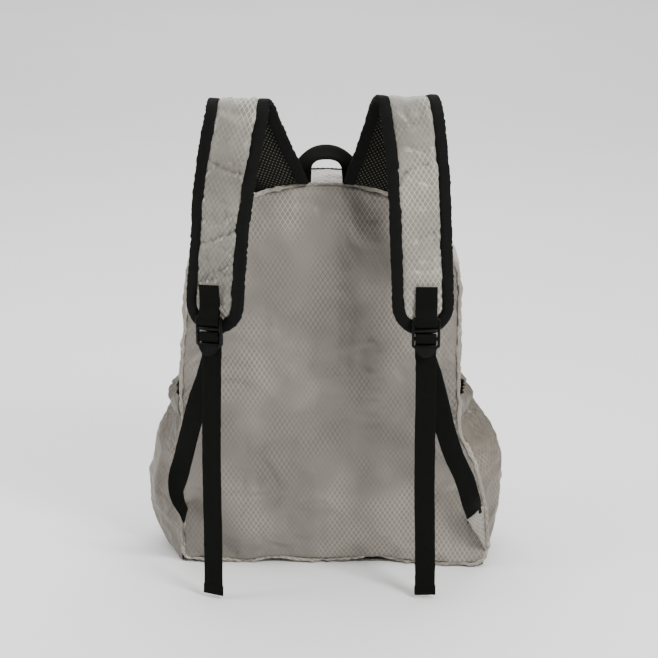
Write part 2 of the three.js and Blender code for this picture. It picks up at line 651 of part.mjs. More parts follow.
function strapRows(strap) {
  const { length, top } = strap;
  const straight = length - padHalf;
  const bend = 0.09;
  const lengths = [
    ...steps(0, (top - bend) * length, 6),
    ...steps((top - bend) * length, (top + bend) * length, 8).slice(1),
    ...steps((top + bend) * length, straight, 7).slice(1),
  ];
  return [
    ...lengths.map((distance) => ({ distance, fan: 0 })),
    ...steps(0, PI / 2, 6).slice(1).map((fan) => ({ distance: straight, fan })),
  ];
}

function strapPoint(strap, row, reach, rise) {
  const { at, across, out } = strapFrame(strap, row.distance + abs(reach) * sin(row.fan));
  const place = at.addScaledVector(across, reach * cos(row.fan)).addScaledVector(out, rise);
  const root = strapFrame(strap, 0);
  const start = root.at.addScaledVector(root.across, reach).addScaledVector(root.out, rise);
  const hold = pow(max(1 - (10 * row.distance) / strap.length, 0), 2);
  place.z += hold * (aboveSeam(start.x, rootLift) - start.z);
  return place;
}

function strapLayer(strap, upperRise, lowerRise) {
  const reaches = [-padHalf, -boundReach, 0, boundReach, padHalf];
  const layer = (rise) =>
    strapRows(strap).map((row) => reaches.map((reach) => strapPoint(strap, row, reach, rise(reach))));
  return slab(layer(upperRise), layer(lowerRise), { folded: true });
}

function strapPad(strap) {
  const crown = (reach) => EDGE_HALF + (reach === 0 ? PAD_CROWN : 0);
  return strapLayer(strap, crown, () => -EDGE_HALF + MESH_WALL + PIECE_GAP);
}

function strapMesh(strap) {
  return strapLayer(strap, () => -EDGE_HALF + MESH_WALL, () => -EDGE_HALF);
}

// The tape that binds the strap's rim: a channel round both long edges and the rounded end.
function strapBinding(strap) {
  const rows = strapRows(strap);
  const trail = [
    ...rows.map((row) => ({ row, side: -1 })),
    ...rows.toReversed().slice(1).map((row) => ({ row, side: 1 })),
  ];
  const lip = boundReach + PIECE_GAP;
  const section = [
    [lip, outerFace],
    [padHalf + PIECE_GAP + BINDING_WALL, outerFace],
    [padHalf + PIECE_GAP + BINDING_WALL, -outerFace],
    [lip, -outerFace],
    [lip, -innerFace],
    [padHalf + PIECE_GAP, -innerFace],
    [padHalf + PIECE_GAP, innerFace],
    [lip, innerFace],
  ];
  const ring = ({ row, side }) => section.map(([reach, rise]) => strapPoint(strap, row, side * reach, rise));
  return channel(trail.map(ring));
}

// A channel through sections of eight points: its web lies between points 1, 2, 5 and 6. Its faces are
// split along the same diagonals as the layers it holds.
function channel(sections) {
  const count = sections[0].length;
  const triangles = [];
  const quad = (a, b, c, d) => triangles.push([a, b, c], [a, c, d]);
  for (let row = 0; row < sections.length - 1; row++) {
    for (let k = 0; k < count; k++) {
      const next = (k + 1) % count;
      const [a, b] = [row * count + k, row * count + next];
      const [c, d] = [b + count, a + count];
      if (k <= 4) quad(b, c, d, a);
      else quad(a, b, c, d);
    }
  }
  const last = (sections.length - 1) * count;
  for (const [a, b, c, d] of [[1, 2, 5, 6], [0, 1, 6, 7], [2, 3, 4, 5]]) {
    quad(d, c, b, a);
    quad(last + a, last + b, last + c, last + d);
  }
  return closedGeometry(sections.flat(), triangles);
}

// Ladder lock. Its own frame has d down the strap from the lock's top edge and n towards the viewer from
// the strap's face, which is at n = 0.
const layerOne = PIECE_GAP + WEB_WALL / 2;
const layerTwo = layerOne + WEB_WALL + PIECE_GAP;
const lockBack = layerOne + WEB_WALL / 2 + PIECE_GAP;
const lockFront = lockBack + LOCK_WALL;
const overLock = lockFront + PIECE_GAP + WEB_WALL / 2;
const keeperSlotAt = TOP_BAR + KEEPER_SLOT / 2;
const upperSlotAt = TOP_BAR + KEEPER_SLOT + GUARD_BAR + WEB_SLOT / 2;
const lowerSlotAt = upperSlotAt + WEB_SLOT + GRIP_BAR;
const lockLength = lowerSlotAt + WEB_SLOT / 2 + TAB_BAR;
const slotWidth = LOCK_WIDTH - 2 * LOCK_RAIL;

function lockFrame(strap) {
  const { at, heading, across, out } = strapFrame(strap, strap.length - LOCK_ABOVE_END);
  const origin = at.addScaledVector(out, outerFace).addScaledVector(across, strap.side * LOCK_SHIFT);
  const spot = (d, n) => origin.clone().addScaledVector(heading, d).addScaledVector(out, n);
  const matrix = new THREE.Matrix4().makeBasis(across, heading.clone().negate(), out).setPosition(origin);
  return { spot, across, matrix };
}

function ladderLock(strap) {
  const half = LOCK_WIDTH / 2;
  const neck = LOCK_NECK / 2;
  const outline = new THREE.Shape();
  outline.moveTo(-neck, 0);
  outline.lineTo(neck, 0);
  outline.lineTo(half, -TOP_BAR);
  outline.lineTo(half, -lockLength + TAB_BAR);
  outline.lineTo(TAB_WIDTH / 2, -lockLength);
  outline.lineTo(-TAB_WIDTH / 2, -lockLength);
  outline.lineTo(-half, -lockLength + TAB_BAR);
  outline.lineTo(-half, -TOP_BAR);
  const slots = [
    [keeperSlotAt, KEEPER_SLOT],
    [upperSlotAt, WEB_SLOT],
    [lowerSlotAt, WEB_SLOT],
  ];
  const cutters = slots.map(([middle, height]) =>
    toSolid(box(slotWidth, height, 3 * LOCK_WALL, 0, -middle, LOCK_WALL / 2)),
  );
  const plate = new THREE.ExtrudeGeometry(outline, { depth: LOCK_WALL, bevelEnabled: false });
  const frame = cutters.reduce((solid, cutter) => solid.subtract(cutter), toSolid(plate));
  const lip = new THREE.Shape();
  lip.moveTo(-TAB_WIDTH / 2, TAB_BAR / 2);
  lip.lineTo(-TAB_WIDTH / 2, -TAB_LENGTH * 0.3);
  lip.quadraticCurveTo(0, -TAB_LENGTH * 1.7, TAB_WIDTH / 2, -TAB_LENGTH * 0.3);
  lip.lineTo(TAB_WIDTH / 2, TAB_BAR / 2);
  const tab = new THREE.ExtrudeGeometry(lip, { depth: TAB_WALL, bevelEnabled: false, curveSegments: 6 });
  tab.translate(0, 0, LOCK_WALL - TAB_WALL - PIECE_GAP).rotateX(-TAB_TILT);
  tab.translate(0, -lockLength + TAB_BAR / 2, 0);
  const joined = frame.add(toSolid(tab));
  const { matrix } = lockFrame(strap);
  return fromSolid(joined).translate(0, 0, lockBack).applyMatrix4(matrix);
}

// Points through a list of [d, n] in the lock's frame.
const lockTrail = (frame, list) => list.map(([d, n]) => frame.spot(d, n));

function buckleKeeper(strap) {
  const frame = lockFrame(strap);
  const turn = WEB_WALL;
  const trail = [
    [-KEEPER_RUN, layerTwo],
    [-TOP_BAR, layerTwo],
    [-TOP_BAR / 2, mix(layerTwo, overLock, 0.4)],
    [0, overLock],
    [TOP_BAR, overLock],
    [keeperSlotAt - turn / 4, overLock - turn / 3],
    [keeperSlotAt, overLock - turn],
    [keeperSlotAt, layerOne + turn],
    [keeperSlotAt - turn / 4, layerOne + turn / 3],
    [TOP_BAR, layerOne],
    [-KEEPER_RETURN, layerOne],
  ];
  const across = frame.across;
  const wall = WEB_WALL;
  return ribbon(lockTrail(frame, trail).map((at) => ({ at, side: across, width: KEEPER_WIDTH, wall })));
}

// The webbing of one side, in one piece: from its anchored end, up behind the lock, over the grip bar, back
// behind the tab and down to its free end.
function webbingFrames(strap) {
  const { side } = strap;
  const name = sideName(side);
  const lock = lockFrame(strap);
  const behind = lock.spot(lockLength + TAB_LENGTH, -WEB_WALL);
  const seamX = sideAt(LEG_LIFT, side, 0);
  const endX = seamX - side * LEG_INSET[name];
  const end = point(endX, depthAt(seamX, LEG_LIFT, 0) - LEG_STAND[name], LEG_LIFT);
  const leg = LEG_ROUTE.map((row) =>
    point(mix(behind.x, end.x, row[name]), mix(behind.y, end.y, row.back), mix(behind.z, end.z, row.drop)),
  ).reverse();
  const legLine = new THREE.CatmullRomCurve3([...leg, behind], false, "centripetal");
  const legSpots = steps(0, 1, 16).map((share) => legLine.getPointAt(share));
  const through = lockTrail(lock, [
    [lowerSlotAt + WEB_SLOT / 4, -WEB_WALL * 0.7],
    [lowerSlotAt - WEB_SLOT / 2, -WEB_WALL * 0.5],
    [lowerSlotAt - WEB_SLOT, layerOne],
    [upperSlotAt + WEB_WALL / 2, layerOne + WEB_WALL / 6],
    [upperSlotAt, layerOne + WEB_WALL],
    [upperSlotAt, overLock - WEB_WALL],
    [upperSlotAt + WEB_WALL / 2, overLock - WEB_WALL / 6],
    [lowerSlotAt - WEB_SLOT / 2, overLock],
    [lowerSlotAt - WEB_WALL / 2, overLock - WEB_WALL / 6],
    [lowerSlotAt, overLock - WEB_WALL],
    [lowerSlotAt, layerOne + WEB_WALL * 1.2],
    [lowerSlotAt + WEB_WALL / 2, layerOne + WEB_WALL / 4],
    [lockLength, layerOne],
    [lockLength + TAB_LENGTH, layerOne],
  ]);
  const start = through[through.length - 1];
  const hang = [0.15, 0.4, 0.7].map((share) =>
    point(start.x + side * TAIL_DRIFT * share, start.y + 1 - 2 * share, mix(start.z, TAIL_CLEAR, share)),
  );
  const footX = start.x + side * TAIL_DRIFT;
  const hem = [TAIL_HEM + 0.5, TAIL_HEM, 0].map((up) => point(footX, start.y - 1, TAIL_CLEAR + up));
  const spots = [...legSpots, ...through, ...hang, ...hem];
  return spots.map((at, k) => {
    const before = spots[max(k - 1, 0)];
    const after = spots[min(k + 1, spots.length - 1)];
    const along = after.clone().sub(before).normalize();
    const share = 1 - min(k / (legSpots.length - 1), 1);
    const twist = -side * LEG_TWIST[name] * ease(LEG_TURN[name], 0.97, share);
    const flat = squareTo(lock.across, along).applyAxisAngle(along, twist);
    const wall = k >= spots.length - 2 ? WEB_WALL * 2 : WEB_WALL;
    return { at, side: flat, along, width: WEB_WIDTH, wall };
  });
}

const adjusterWebbing = (strap) => ribbon(webbingFrames(strap));

// The cloth tab that carries on from the webbing's anchored end to the side seam.
function webbingAnchor(strap) {
  const { side } = strap;
  const { at, side: flat, along, width } = webbingFrames(strap)[0];
  const start = at.clone().addScaledVector(along, -CLOTH - SEAM_GAP);
  const ends = [-0.5, 0.5].map((share) => start.clone().addScaledVector(flat, share * width));
  ends.sort((a, b) => a.z - b.z);
  const seam = [ANCHOR_LOW, ANCHOR_HIGH].map((z) => {
    const x = sideAt(z, side, 0);
    return point(x + side * WELT_RADIUS, depthAt(x, z, 0) - WELT_RADIUS - SEAM_GAP - CLOTH, z);
  });
  const surface = (u, v) => seam[0].clone().lerp(seam[1], u).lerp(ends[0].clone().lerp(ends[1], u), v);
  const shares = steps(0, 1, 3);
  return sheet(shares, shares, surface, CLOTH, shellMiddle);
}

// The carry handle: one loop of webbing, flat to the viewer at its feet and tipped level at its top.
function carryHandle() {
  const footX = STRAP_MIDDLE;
  const back = outerFace + PIECE_GAP + HANDLE_WALL / 2 + SEAM_GAP;
  const depth = depthAt(footX, BAG_HEIGHT, 0) + back;
  const footing = (x) => crownHeight(x) + TOP_BULGE * pow(sin((PI * back) / TOP_DEPTH), 0.9) + SEAM_GAP;
  const bow = (value) => sign(value) * pow(abs(value), 2 / HANDLE_POWER);
  const tip = point(0, -cos(HANDLE_TIP), -sin(HANDLE_TIP));
  const spots = steps(0, 1, 20).map((share) => {
    const angle = PI * (1 - share);
    const x = footX + (HANDLE_SPAN / 2) * bow(cos(angle));
    return point(x, depth, footing(x) + HANDLE_RISE * bow(sin(angle)));
  });
  const frames = spots.map((at, k) => {
    const before = spots[max(k - 1, 0)];
    const after = spots[min(k + 1, spots.length - 1)];
    const along = after.clone().sub(before).normalize();
    const share = k / (spots.length - 1);
    const level = sin(PI * share);
    const flat = viewerRight.clone().multiplyScalar((share < 0.5 ? 1 : -1) * (1 - level));
    const side = squareTo(flat.addScaledVector(tip, level), along);
    return { at, side, width: WEB_WIDTH, wall: HANDLE_WALL };
  });
  return ribbon(frames);
}

const bag = new THREE.Group();

function add(name, geometry, look) {
  const mesh = new THREE.Mesh(geometry, new THREE.MeshStandardMaterial(look));
  mesh.name = name;
  bag.add(mesh);
}

add("back_panel", backPanel(), CLOTH_LOOK);
add("front_panel", frontPanel(), CLOTH_LOOK);
add("base_panel", basePanel(), CLOTH_LOOK);
add("top_gusset_rear", topStrip(steps(gussetEdge, ZIP_PLACE - tapeHalf - seamShare, 4)), CLOTH_LOOK);
add("top_gusset_front", topStrip(steps(ZIP_PLACE + tapeHalf + seamShare, 1 - gussetEdge, 2)), CLOTH_LOOK);
add("main_zip", zipStrip(), WEBBING_LOOK);
add("zip_slider", zipSlider(), PLASTIC_LOOK);
add("seam_welt_back", welt(0), CLOTH_LOOK);
add("seam_welt_front", welt(1), CLOTH_LOOK);
add("carry_handle", carryHandle(), WEBBING_LOOK);

for (const side of [-1, 1]) {
  const name = sideName(side);
  const strap = strapLine(side);
  add("side_gusset_" + name, sideGusset(side), CLOTH_LOOK);
  add("side_pocket_" + name, sidePocket(side), CLOTH_LOOK);
  add("pocket_elastic_" + name, pocketElastic(side), CLOTH_LOOK);
  add("strap_pad_" + name, strapPad(strap), CLOTH_LOOK);
  add("strap_mesh_" + name, strapMesh(strap), MESH_LOOK);
  add("strap_binding_" + name, strapBinding(strap), WEBBING_LOOK);
  add("buckle_keeper_" + name, buckleKeeper(strap), WEBBING_LOOK);
  add("ladder_lock_" + name, ladderLock(strap), PLASTIC_LOOK);
  add("adjuster_webbing_" + name, adjusterWebbing(strap), WEBBING_LOOK);
  add("webbing_anchor_" + name, webbingAnchor(strap), CLOTH_LOOK);
}

export default bag;
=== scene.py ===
"""The looks of the packable backpack: crumpled ripstop, padded straps, webbing and locks, built round the
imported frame. Lengths are in millimetres until a mesh is made; +X is right, +Y away and +Z up."""

import math

import bpy
import numpy as np
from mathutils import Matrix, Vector


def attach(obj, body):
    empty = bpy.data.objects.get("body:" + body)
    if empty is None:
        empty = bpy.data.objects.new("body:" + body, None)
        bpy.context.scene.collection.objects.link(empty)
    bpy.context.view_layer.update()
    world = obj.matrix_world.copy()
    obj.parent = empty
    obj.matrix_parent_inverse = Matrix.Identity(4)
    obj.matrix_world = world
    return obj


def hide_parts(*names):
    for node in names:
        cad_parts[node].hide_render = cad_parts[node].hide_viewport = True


PI = math.pi
MM = 0.001

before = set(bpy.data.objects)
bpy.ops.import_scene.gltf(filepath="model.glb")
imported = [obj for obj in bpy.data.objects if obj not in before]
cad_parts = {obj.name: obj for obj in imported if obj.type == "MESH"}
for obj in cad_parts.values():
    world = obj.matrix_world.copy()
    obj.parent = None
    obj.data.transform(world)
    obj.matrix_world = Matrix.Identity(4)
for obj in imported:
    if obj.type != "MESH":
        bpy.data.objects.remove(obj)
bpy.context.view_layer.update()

# Cloth shell, as in the solids
BAG_HEIGHT = 407
HALF_WIDTH = 139
SHOULDER_DROP = 115
ARCH_POWER = 2.2
BASE_DEPTH = 140
TOP_DEPTH = 92
TOP_LEAN = 10
FRONT_DROP = 10
FRONT_TUCK = 6
SIDE_FLARE = 33
FRONT_FLARE = 15
CORNER_KICK = 14
HEM_LIFT = 4.5
HEM_RUFFLE = 5
HEM_CORNER = 9
BACK_BULGE = 15
FRONT_BULGE = 30
GUSSET_BULGE = 8
TOP_BULGE = 13
FOLD_DEPTH = 5
WELT_RADIUS = 1.9
CLOTH = 0.7  # wall of the cloth as it is shown

ZIP_END = 0.27
ZIP_PLACE = 0.6
ZIP_TAPE = 26

POCKET_HEIGHT = 161
POCKET_BULGE = 36
POCKET_FLOOR = 1.2
POCKET_INSET = 4
ELASTIC_HEIGHT = 22
ELASTIC_SWELL = 3.5
ELASTIC_DRAW = 4

STRAP_WIDTH = 61
STRAP_MIDDLE = 4
ROOT_SPACING = 91.5
STRAP_RISE = {-1: 92.5, 1: 96}
STRAP_HANG = 126.5
STRAP_REACH = 97
STRAP_SPREAD = {-1: 63, 1: 48.5}
STRAP_ROLL = {-1: 0.38, 1: 0}
BINDING_WIDTH = 12
PAD_HALF = STRAP_WIDTH / 2 - 1.5
BINDING_FACE = 4.1
ROOT_LIFT = 3.2

WEB_WIDTH = 20.5
WEB_WALL = 1.3
KEEPER_WIDTH = 21.6
LOCK_WIDTH = 28
LOCK_WALL = 4
LOCK_ABOVE_END = 18
LOCK_SHIFT = 3
LEG_LIFT = 59
LEG_STAND = {-1: 15, 1: 17}
LEG_INSET = {-1: 3, 1: 10.5}
LEG_TWIST = {-1: 1.75, 1: -0.7}
LEG_TURN = {-1: 0.62, 1: 0.84}
TAIL_CLEAR = 3.5
TAIL_DRIFT = 2.5

HANDLE_HALF = 26
HANDLE_RISE = 30.5
HANDLE_TIP = 0.58  # lean of the loop's top, in radians
HANDLE_POWER = 2.4

# Flare of the back seam: height share, left share, right share.
FLARE = np.array(
    [
        (0, 0.26, 0.82),
        (0.045, 0.26, 1),
        (0.11, 0.26, 0.99),
        (0.17, 0.25, 0.88),
        (0.25, 0.24, 0.68),
        (0.31, 0.23, 0.4),
        (0.36, 0.22, 0.09),
        (0.45, 0.21, 0.02),
        (0.55, 0.18, 0),
        (0.65, 0.04, 0),
        (0.72, 0, 0),
    ]
)
# Puckers of the lower edge: place from left to right, lift.
HEM_PUCKERS = np.array(
    [
        (0, 0.1),
        (0.07, 0.5),
        (0.17, 0.1),
        (0.26, 0),
        (0.33, 0.85),
        (0.42, 0.3),
        (0.5, 0.2),
        (0.6, 0.55),
        (0.68, 1),
        (0.75, 0.2),
        (0.88, 0),
        (1, 0.2),
    ]
)
# Soft dents of the back panel: x and z shares, length, width, angle, depth.
BACK_FOLDS = [
    (0.28, 0.7, 0.42, 0.16, 78, 1),
    (0.34, 0.42, 0.3, 0.16, 95, 0.55),
    (-0.35, 0.52, 0.34, 0.1, -52, 0.6),
    (-0.52, 0.32, 0.26, 0.07, 12, 0.7),
    (-0.3, 0.26, 0.24, 0.07, -48, -0.5),
    (-0.5, 0.16, 0.3, 0.08, 28, 0.55),
    (0.88, 0.2, 0.3, 0.12, 60, 0.8),
    (0.1, 0.12, 0.5, 0.1, 4, -0.45),
]
# Pocket outline: height share, left share, right share.
POCKET_SHAPE = np.array(
    [
        (0, 0.22, 0.04),
        (0.05, 0.5, 0.12),
        (0.14, 0.68, 0.27),
        (0.22, 0.87, 0.35),
        (0.33, 1, 0.52),
        (0.45, 1.02, 0.67),
        (0.62, 0.87, 0.79),
        (0.7, 0.8, 0.81),
        (0.79, 0.71, 0.77),
        (0.9, 0.4, 0.5),
        (1, 0.2, 0.17),
    ]
)
# Strap route: shares of rise, fall and reach, and of the spread on the left and on the right.
STRAP_ROUTE = [
    (0, 0, 0, 0, 0),
    (0.36, 0, 0.17, 0.27, 0.25),
    (0.7, 0, 0.31, 0.46, 0.45),
    (0.93, 0, 0.43, 0.575, 0.56),
    (1, 0, 0.56, 0.625, 0.68),
    (1, 0.05, 0.68, 0.66, 0.76),
    (1, 0.2, 0.75, 0.76, 0.85),
    (1, 0.4, 0.82, 0.875, 0.92),
    (1, 0.65, 0.91, 0.95, 0.965),
    (1, 0.84, 0.97, 1, 1),
    (1, 1, 1, 1, 1),
]
# Webbing leg: shares of drop, way back, way out on the left and on the right.
LEG_ROUTE = [
    (0.13, 0.11, 0.2, 0.14),
    (0.27, 0.24, 0.46, 0.26),
    (0.44, 0.4, 0.71, 0.4),
    (0.6, 0.56, 0.93, 0.57),
    (0.74, 0.69, 1.13, 0.77),
    (0.85, 0.8, 1.19, 0.88),
    (0.93, 0.9, 1.1, 0.95),
    (1, 1, 1, 1),
]


# Small maths


def smooth(low, high, value):
    """An eased step from 0 at low to 1 at high."""
    t = np.clip((np.asarray(value, float) - low) / (high - low), 0, 1)
    return t * t * (3 - 2 * t)


def mix(a, b, t):
    return a + (b - a) * t


def follow(table, column, at):
    """A smooth reading of one column of a table whose first column is the place."""
    x, y = table[:, 0], table[:, column]
    before = np.r_[0, np.arange(len(x) - 1)]
    after = np.r_[np.arange(1, len(x)), len(x) - 1]
    slope = (y[after] - y[before]) / (x[after] - x[before])
    at = np.clip(at, x[0], x[-1])
    k = np.clip(np.searchsorted(x, at, side="right") - 1, 0, len(x) - 2)
    span = x[k + 1] - x[k]
    t = (at - x[k]) / span
    bend = t * (1 - t)
    ease = mix(y[k], y[k + 1], t * t * (3 - 2 * t))
    return ease + span * bend * (slope[k] * (1 - t) - slope[k + 1] * t)


def unit(v):
    return v / np.maximum(np.linalg.norm(v, axis=-1, keepdims=True), 1e-9)


LATTICE = np.random.default_rng(11).normal(size=(64, 64, 64))


def noise(points, size, seed):
    """Smooth noise of about -1 to 1 over points[..., 3], with features of the given size."""
    p = np.asarray(points, float) / size + seed * 7.31
    cell = np.floor(p).astype(int)
    t = p - cell
    t = t * t * t * (t * (6 * t - 15) + 10)
    total = 0
    for dx in (0, 1):
        for dy in (0, 1):
            for dz in (0, 1):
                value = LATTICE[(cell[..., 0] + dx) % 64, (cell[..., 1] + dy) % 64, (cell[..., 2] + dz) % 64]
                weight = (
                    (t[..., 0] if dx else 1 - t[..., 0])
                    * (t[..., 1] if dy else 1 - t[..., 1])
                    * (t[..., 2] if dz else 1 - t[..., 2])
                )
                total = total + value * weight
    return total


def creased(points, size, turns, seed):
    """Crumpled cloth: flat facets that meet in sharp folds, about 0 to 1."""
    wave = noise(points, size, seed) * turns
    return 1 - 2 * np.abs(wave - np.round(wave))


def crumple(points, seed, size):
    """Broad folds, and finer ones in some places."""
    broad = creased(points, size, 1.1, seed)
    fine = creased(points, size * 0.47, 1, seed + 3)
    where = smooth(-0.5, 0.9, noise(points, size * 2.2, seed + 5))
    return (broad - 0.5) + 0.45 * where * (fine - 0.5)


# The bag's surfaces


def crown_of(front):
    return BAG_HEIGHT - front * FRONT_DROP


def reach_of(front):
    return HALF_WIDTH - front * FRONT_TUCK


def depth_at(x, z, front):
    """How deep the back or the front panel lies at a place."""
    height = np.clip(z, 0, None) / BAG_HEIGHT
    back = -BASE_DEPTH / 2 + TOP_LEAN * height**1.5
    low = np.clip(1 - height / 0.3, 0, 1)
    kick = CORNER_KICK * smooth(0.35, 1.15, x / HALF_WIDTH) * low**2
    depth = mix(BASE_DEPTH, TOP_DEPTH, height**1.6)
    return back + depth if front else back - kick


def side_at(z, side, front):
    """Where the side seam lies at a height."""
    flare = (FRONT_FLARE if front else SIDE_FLARE) * follow(FLARE, 1 if side < 0 else 2, z / BAG_HEIGHT)
    return side * (reach_of(front) + flare)


def crown_height(x, front=0):
    """The height of the crown seam over a place."""
    share = np.clip(np.abs(x) / reach_of(front), 0, 1)
    return crown_of(front) - SHOULDER_DROP * (1 - (1 - share**ARCH_POWER) ** (1 / ARCH_POWER))


def above_seam(x, distance):
    """The height at a distance out from the crown seam, square to it."""
    slope = (crown_height(x + 1) - crown_height(x - 1)) / 2
    return crown_height(x) + distance * np.hypot(1, slope)


def arched(value):
    return np.sign(value) * np.abs(value) ** (2 / ARCH_POWER)


def hem_at(turn, front):
    """Points of a hem and the way out from it, for an array of turns."""
    shoulder = crown_of(front) - SHOULDER_DROP
    side = np.where(turn < 0.5, -1, 1)
    foot = np.minimum(turn, 1 - turn)
    z_side = mix(1.9, shoulder, np.clip(foot / 0.3, 0, 1))
    x_side = np.where(side < 0, side_at(z_side, -1, front), side_at(z_side, 1, front))
    angle = PI * (1 - (turn - 0.3) / 0.4)
    x_arch = reach_of(front) * arched(np.cos(angle))
    z_arch = shoulder + SHOULDER_DROP * arched(np.sin(angle))
    low = foot <= 0.3
    x = np.where(low, x_side, x_arch)
    z = np.where(low, z_side, z_arch)
    steep_x = (np.abs(x) / reach_of(front)) ** (ARCH_POWER - 1) / reach_of(front)
    steep_z = (np.clip(z - shoulder, 0, None) / SHOULDER_DROP) ** (ARCH_POWER - 1) / SHOULDER_DROP
    out_x = np.where(low, side, np.sign(x) * steep_x)
    out_z = np.where(low, 0, steep_z)
    at = np.stack([x, depth_at(x, z, front), z], -1)
    return at, unit(np.stack([out_x, 0 * x, out_z], -1))


def gusset_at(turn, depth):
    """Points of the sides and top between the back hem and the front hem."""
    back, out_back = hem_at(turn, 0)
    front, out_front = hem_at(turn, 1)
    swell = np.sin(PI * np.clip(depth, 0, 1)) ** 0.9
    bulge = mix(GUSSET_BULGE, TOP_BULGE, out_back[..., 2] ** 2) * swell
    return mix(back, front, depth[..., None]) + unit(out_back + out_front) * bulge[..., None]


def fullness(x, z, front):
    """How far a place is from the seams of its panel: 0 on them, 1 in the middle."""
    shoulder = crown_of(front) - SHOULDER_DROP
    climb = np.clip((z - shoulder) / SHOULDER_DROP, 0, 1)
    narrowing = (1 - climb**ARCH_POWER) ** (1 / ARCH_POWER)
    left, right = side_at(z, -1, front) * narrowing, side_at(z, 1, front) * narrowing
    across = 2 * (x - left) / np.maximum(right - left, 1) - 1
    up = 2 * (z - HEM_LIFT) / (crown_height(x, front) - HEM_LIFT) - 1
    share = np.clip(1 - np.abs(across) ** 3, 0, 1) * np.clip(1 - np.abs(up) ** 3, 0, 1)
    return share**0.6


def fold_at(x, z):
    """The depth of the dents at a place of the back panel."""
    total = 0
    for fx, fz, length, width, angle, depth in BACK_FOLDS:
        c, s = math.cos(math.radians(angle)), math.sin(math.radians(angle))
        dx, dz = x / HALF_WIDTH - fx, (z / BAG_HEIGHT - fz) * BAG_HEIGHT / HALF_WIDTH
        along, across = (dx * c + dz * s) / length, (dz * c - dx * s) / width
        total = total + depth * np.exp(-along * along - across * across)
    return total


def panel_grid(front, columns, rows):
    """A grid over an upright panel: x and z of each point."""
    s = np.sin(np.linspace(-PI / 2, PI / 2, columns))
    s = mix(s, np.linspace(-1, 1, columns), 0.25)
    share = (s + 1) / 2
    pucker = HEM_RUFFLE * follow(HEM_PUCKERS, 1, share)
    wide = np.where(s < 0, -side_at(0, -1, front), side_at(0, 1, front))
    inset = np.clip(1 - (1 - np.abs(s)) * wide / HEM_CORNER, 0, 1)
    foot = HEM_LIFT + pucker + HEM_CORNER * (1 - np.sqrt(1 - inset**2))
    top = crown_height(s * reach_of(front), front)
    z = mix(foot[None], top[None], np.linspace(0, 1, rows)[:, None])
    wide = np.where(s < 0, -side_at(z, -1, front), side_at(z, 1, front))
    return s[None] * wide, z


# Meshes and cloth


def mesh_object(name, points, faces, uv, material):
    """A mesh from points in millimetres, quads or triangles, and a UV place in metres for each point."""
    mesh = bpy.data.meshes.new(name)
    mesh.from_pydata((np.asarray(points) * MM).tolist(), [], [list(f) for f in faces])
    layer = mesh.uv_layers.new(name="flat")
    corners = np.zeros(len(mesh.loops), int)
    mesh.loops.foreach_get("vertex_index", corners)
    layer.data.foreach_set("uv", np.asarray(uv, float)[corners].astype(np.float32).ravel())
    mesh.polygons.foreach_set("use_smooth", np.ones(len(mesh.polygons), bool))
    mesh.materials.append(material)
    mesh.validate()
    obj = bpy.data.objects.new(name, mesh)
    bpy.context.scene.collection.objects.link(obj)
    return obj


def grid_faces(rows, columns, ring=False):
    faces = []
    for start in range(0, (rows - 1) * columns, columns):
        for k in range(columns if ring else columns - 1):
            n = (k + 1) % columns
            faces.append((start + k, start + n, start + columns + n, start + columns + k))
    return faces


def border_pairs(rows, columns, last_row):
    """Pairs of neighbours round a grid, with or without those of its last row."""
    pairs = [(k, k + 1) for k in range(columns - 1)]
    pairs += [((r + 1) * columns - 1, (r + 2) * columns - 1) for r in range(rows - 1)]
    if last_row:
        last = (rows - 1) * columns
        pairs += [(last + k + 1, last + k) for k in reversed(range(columns - 1))]
    return pairs + [((r + 1) * columns, r * columns) for r in reversed(range(rows - 1))]


def layer_faces(rows, columns, last_row=True):
    """Faces of an upper and a lower grid of points and of the wall between their borders."""
    count = rows * columns
    upper = grid_faces(rows, columns)
    lower = [tuple(count + i for i in reversed(f)) for f in upper]
    wall = [(b, a, a + count, b + count) for a, b in border_pairs(rows, columns, last_row)]
    return upper + lower + wall


def grid_normals(grid):
    return unit(np.cross(np.gradient(grid, axis=1), np.gradient(grid, axis=0)))


def outward(grid, inside):
    """A grid's normals on its side away from the point inside."""
    normal = grid_normals(grid)
    facing = np.mean(np.sum(normal * (grid - np.asarray(inside, float)), -1))
    return -normal if facing < 0 else normal


def along_line(points):
    """How far each point of a line is from its first point."""
    return np.r_[0, np.cumsum(np.linalg.norm(np.diff(points, axis=0), axis=-1))]


def shell(name, grid, uv, material, inside, wall=CLOTH):
    """A closed piece of cloth: the grid, and a second layer on the side of the point inside."""
    lower = grid - outward(grid, inside) * wall
    points = np.vstack([grid.reshape(-1, 3), lower.reshape(-1, 3)])
    flat = uv.reshape(-1, 2)
    faces = layer_faces(*grid.shape[:2])
    return face_out(mesh_object(name, points, faces, np.vstack([flat, flat]), material))


def face_out(obj):
    """Turns the faces of a closed mesh outwards."""
    mesh = obj.data
    mesh.calc_loop_triangles()
    co = np.zeros(len(mesh.vertices) * 3)
    mesh.vertices.foreach_get("co", co)
    co = co.reshape(-1, 3)
    tri = np.zeros(len(mesh.loop_triangles) * 3, int)
    mesh.loop_triangles.foreach_get("vertices", tri)
    a, b, c = (co[tri.reshape(-1, 3)[:, k]] for k in range(3))
    if np.sum(a * np.cross(b, c)) < 0:
        mesh.flip_normals()
    return obj


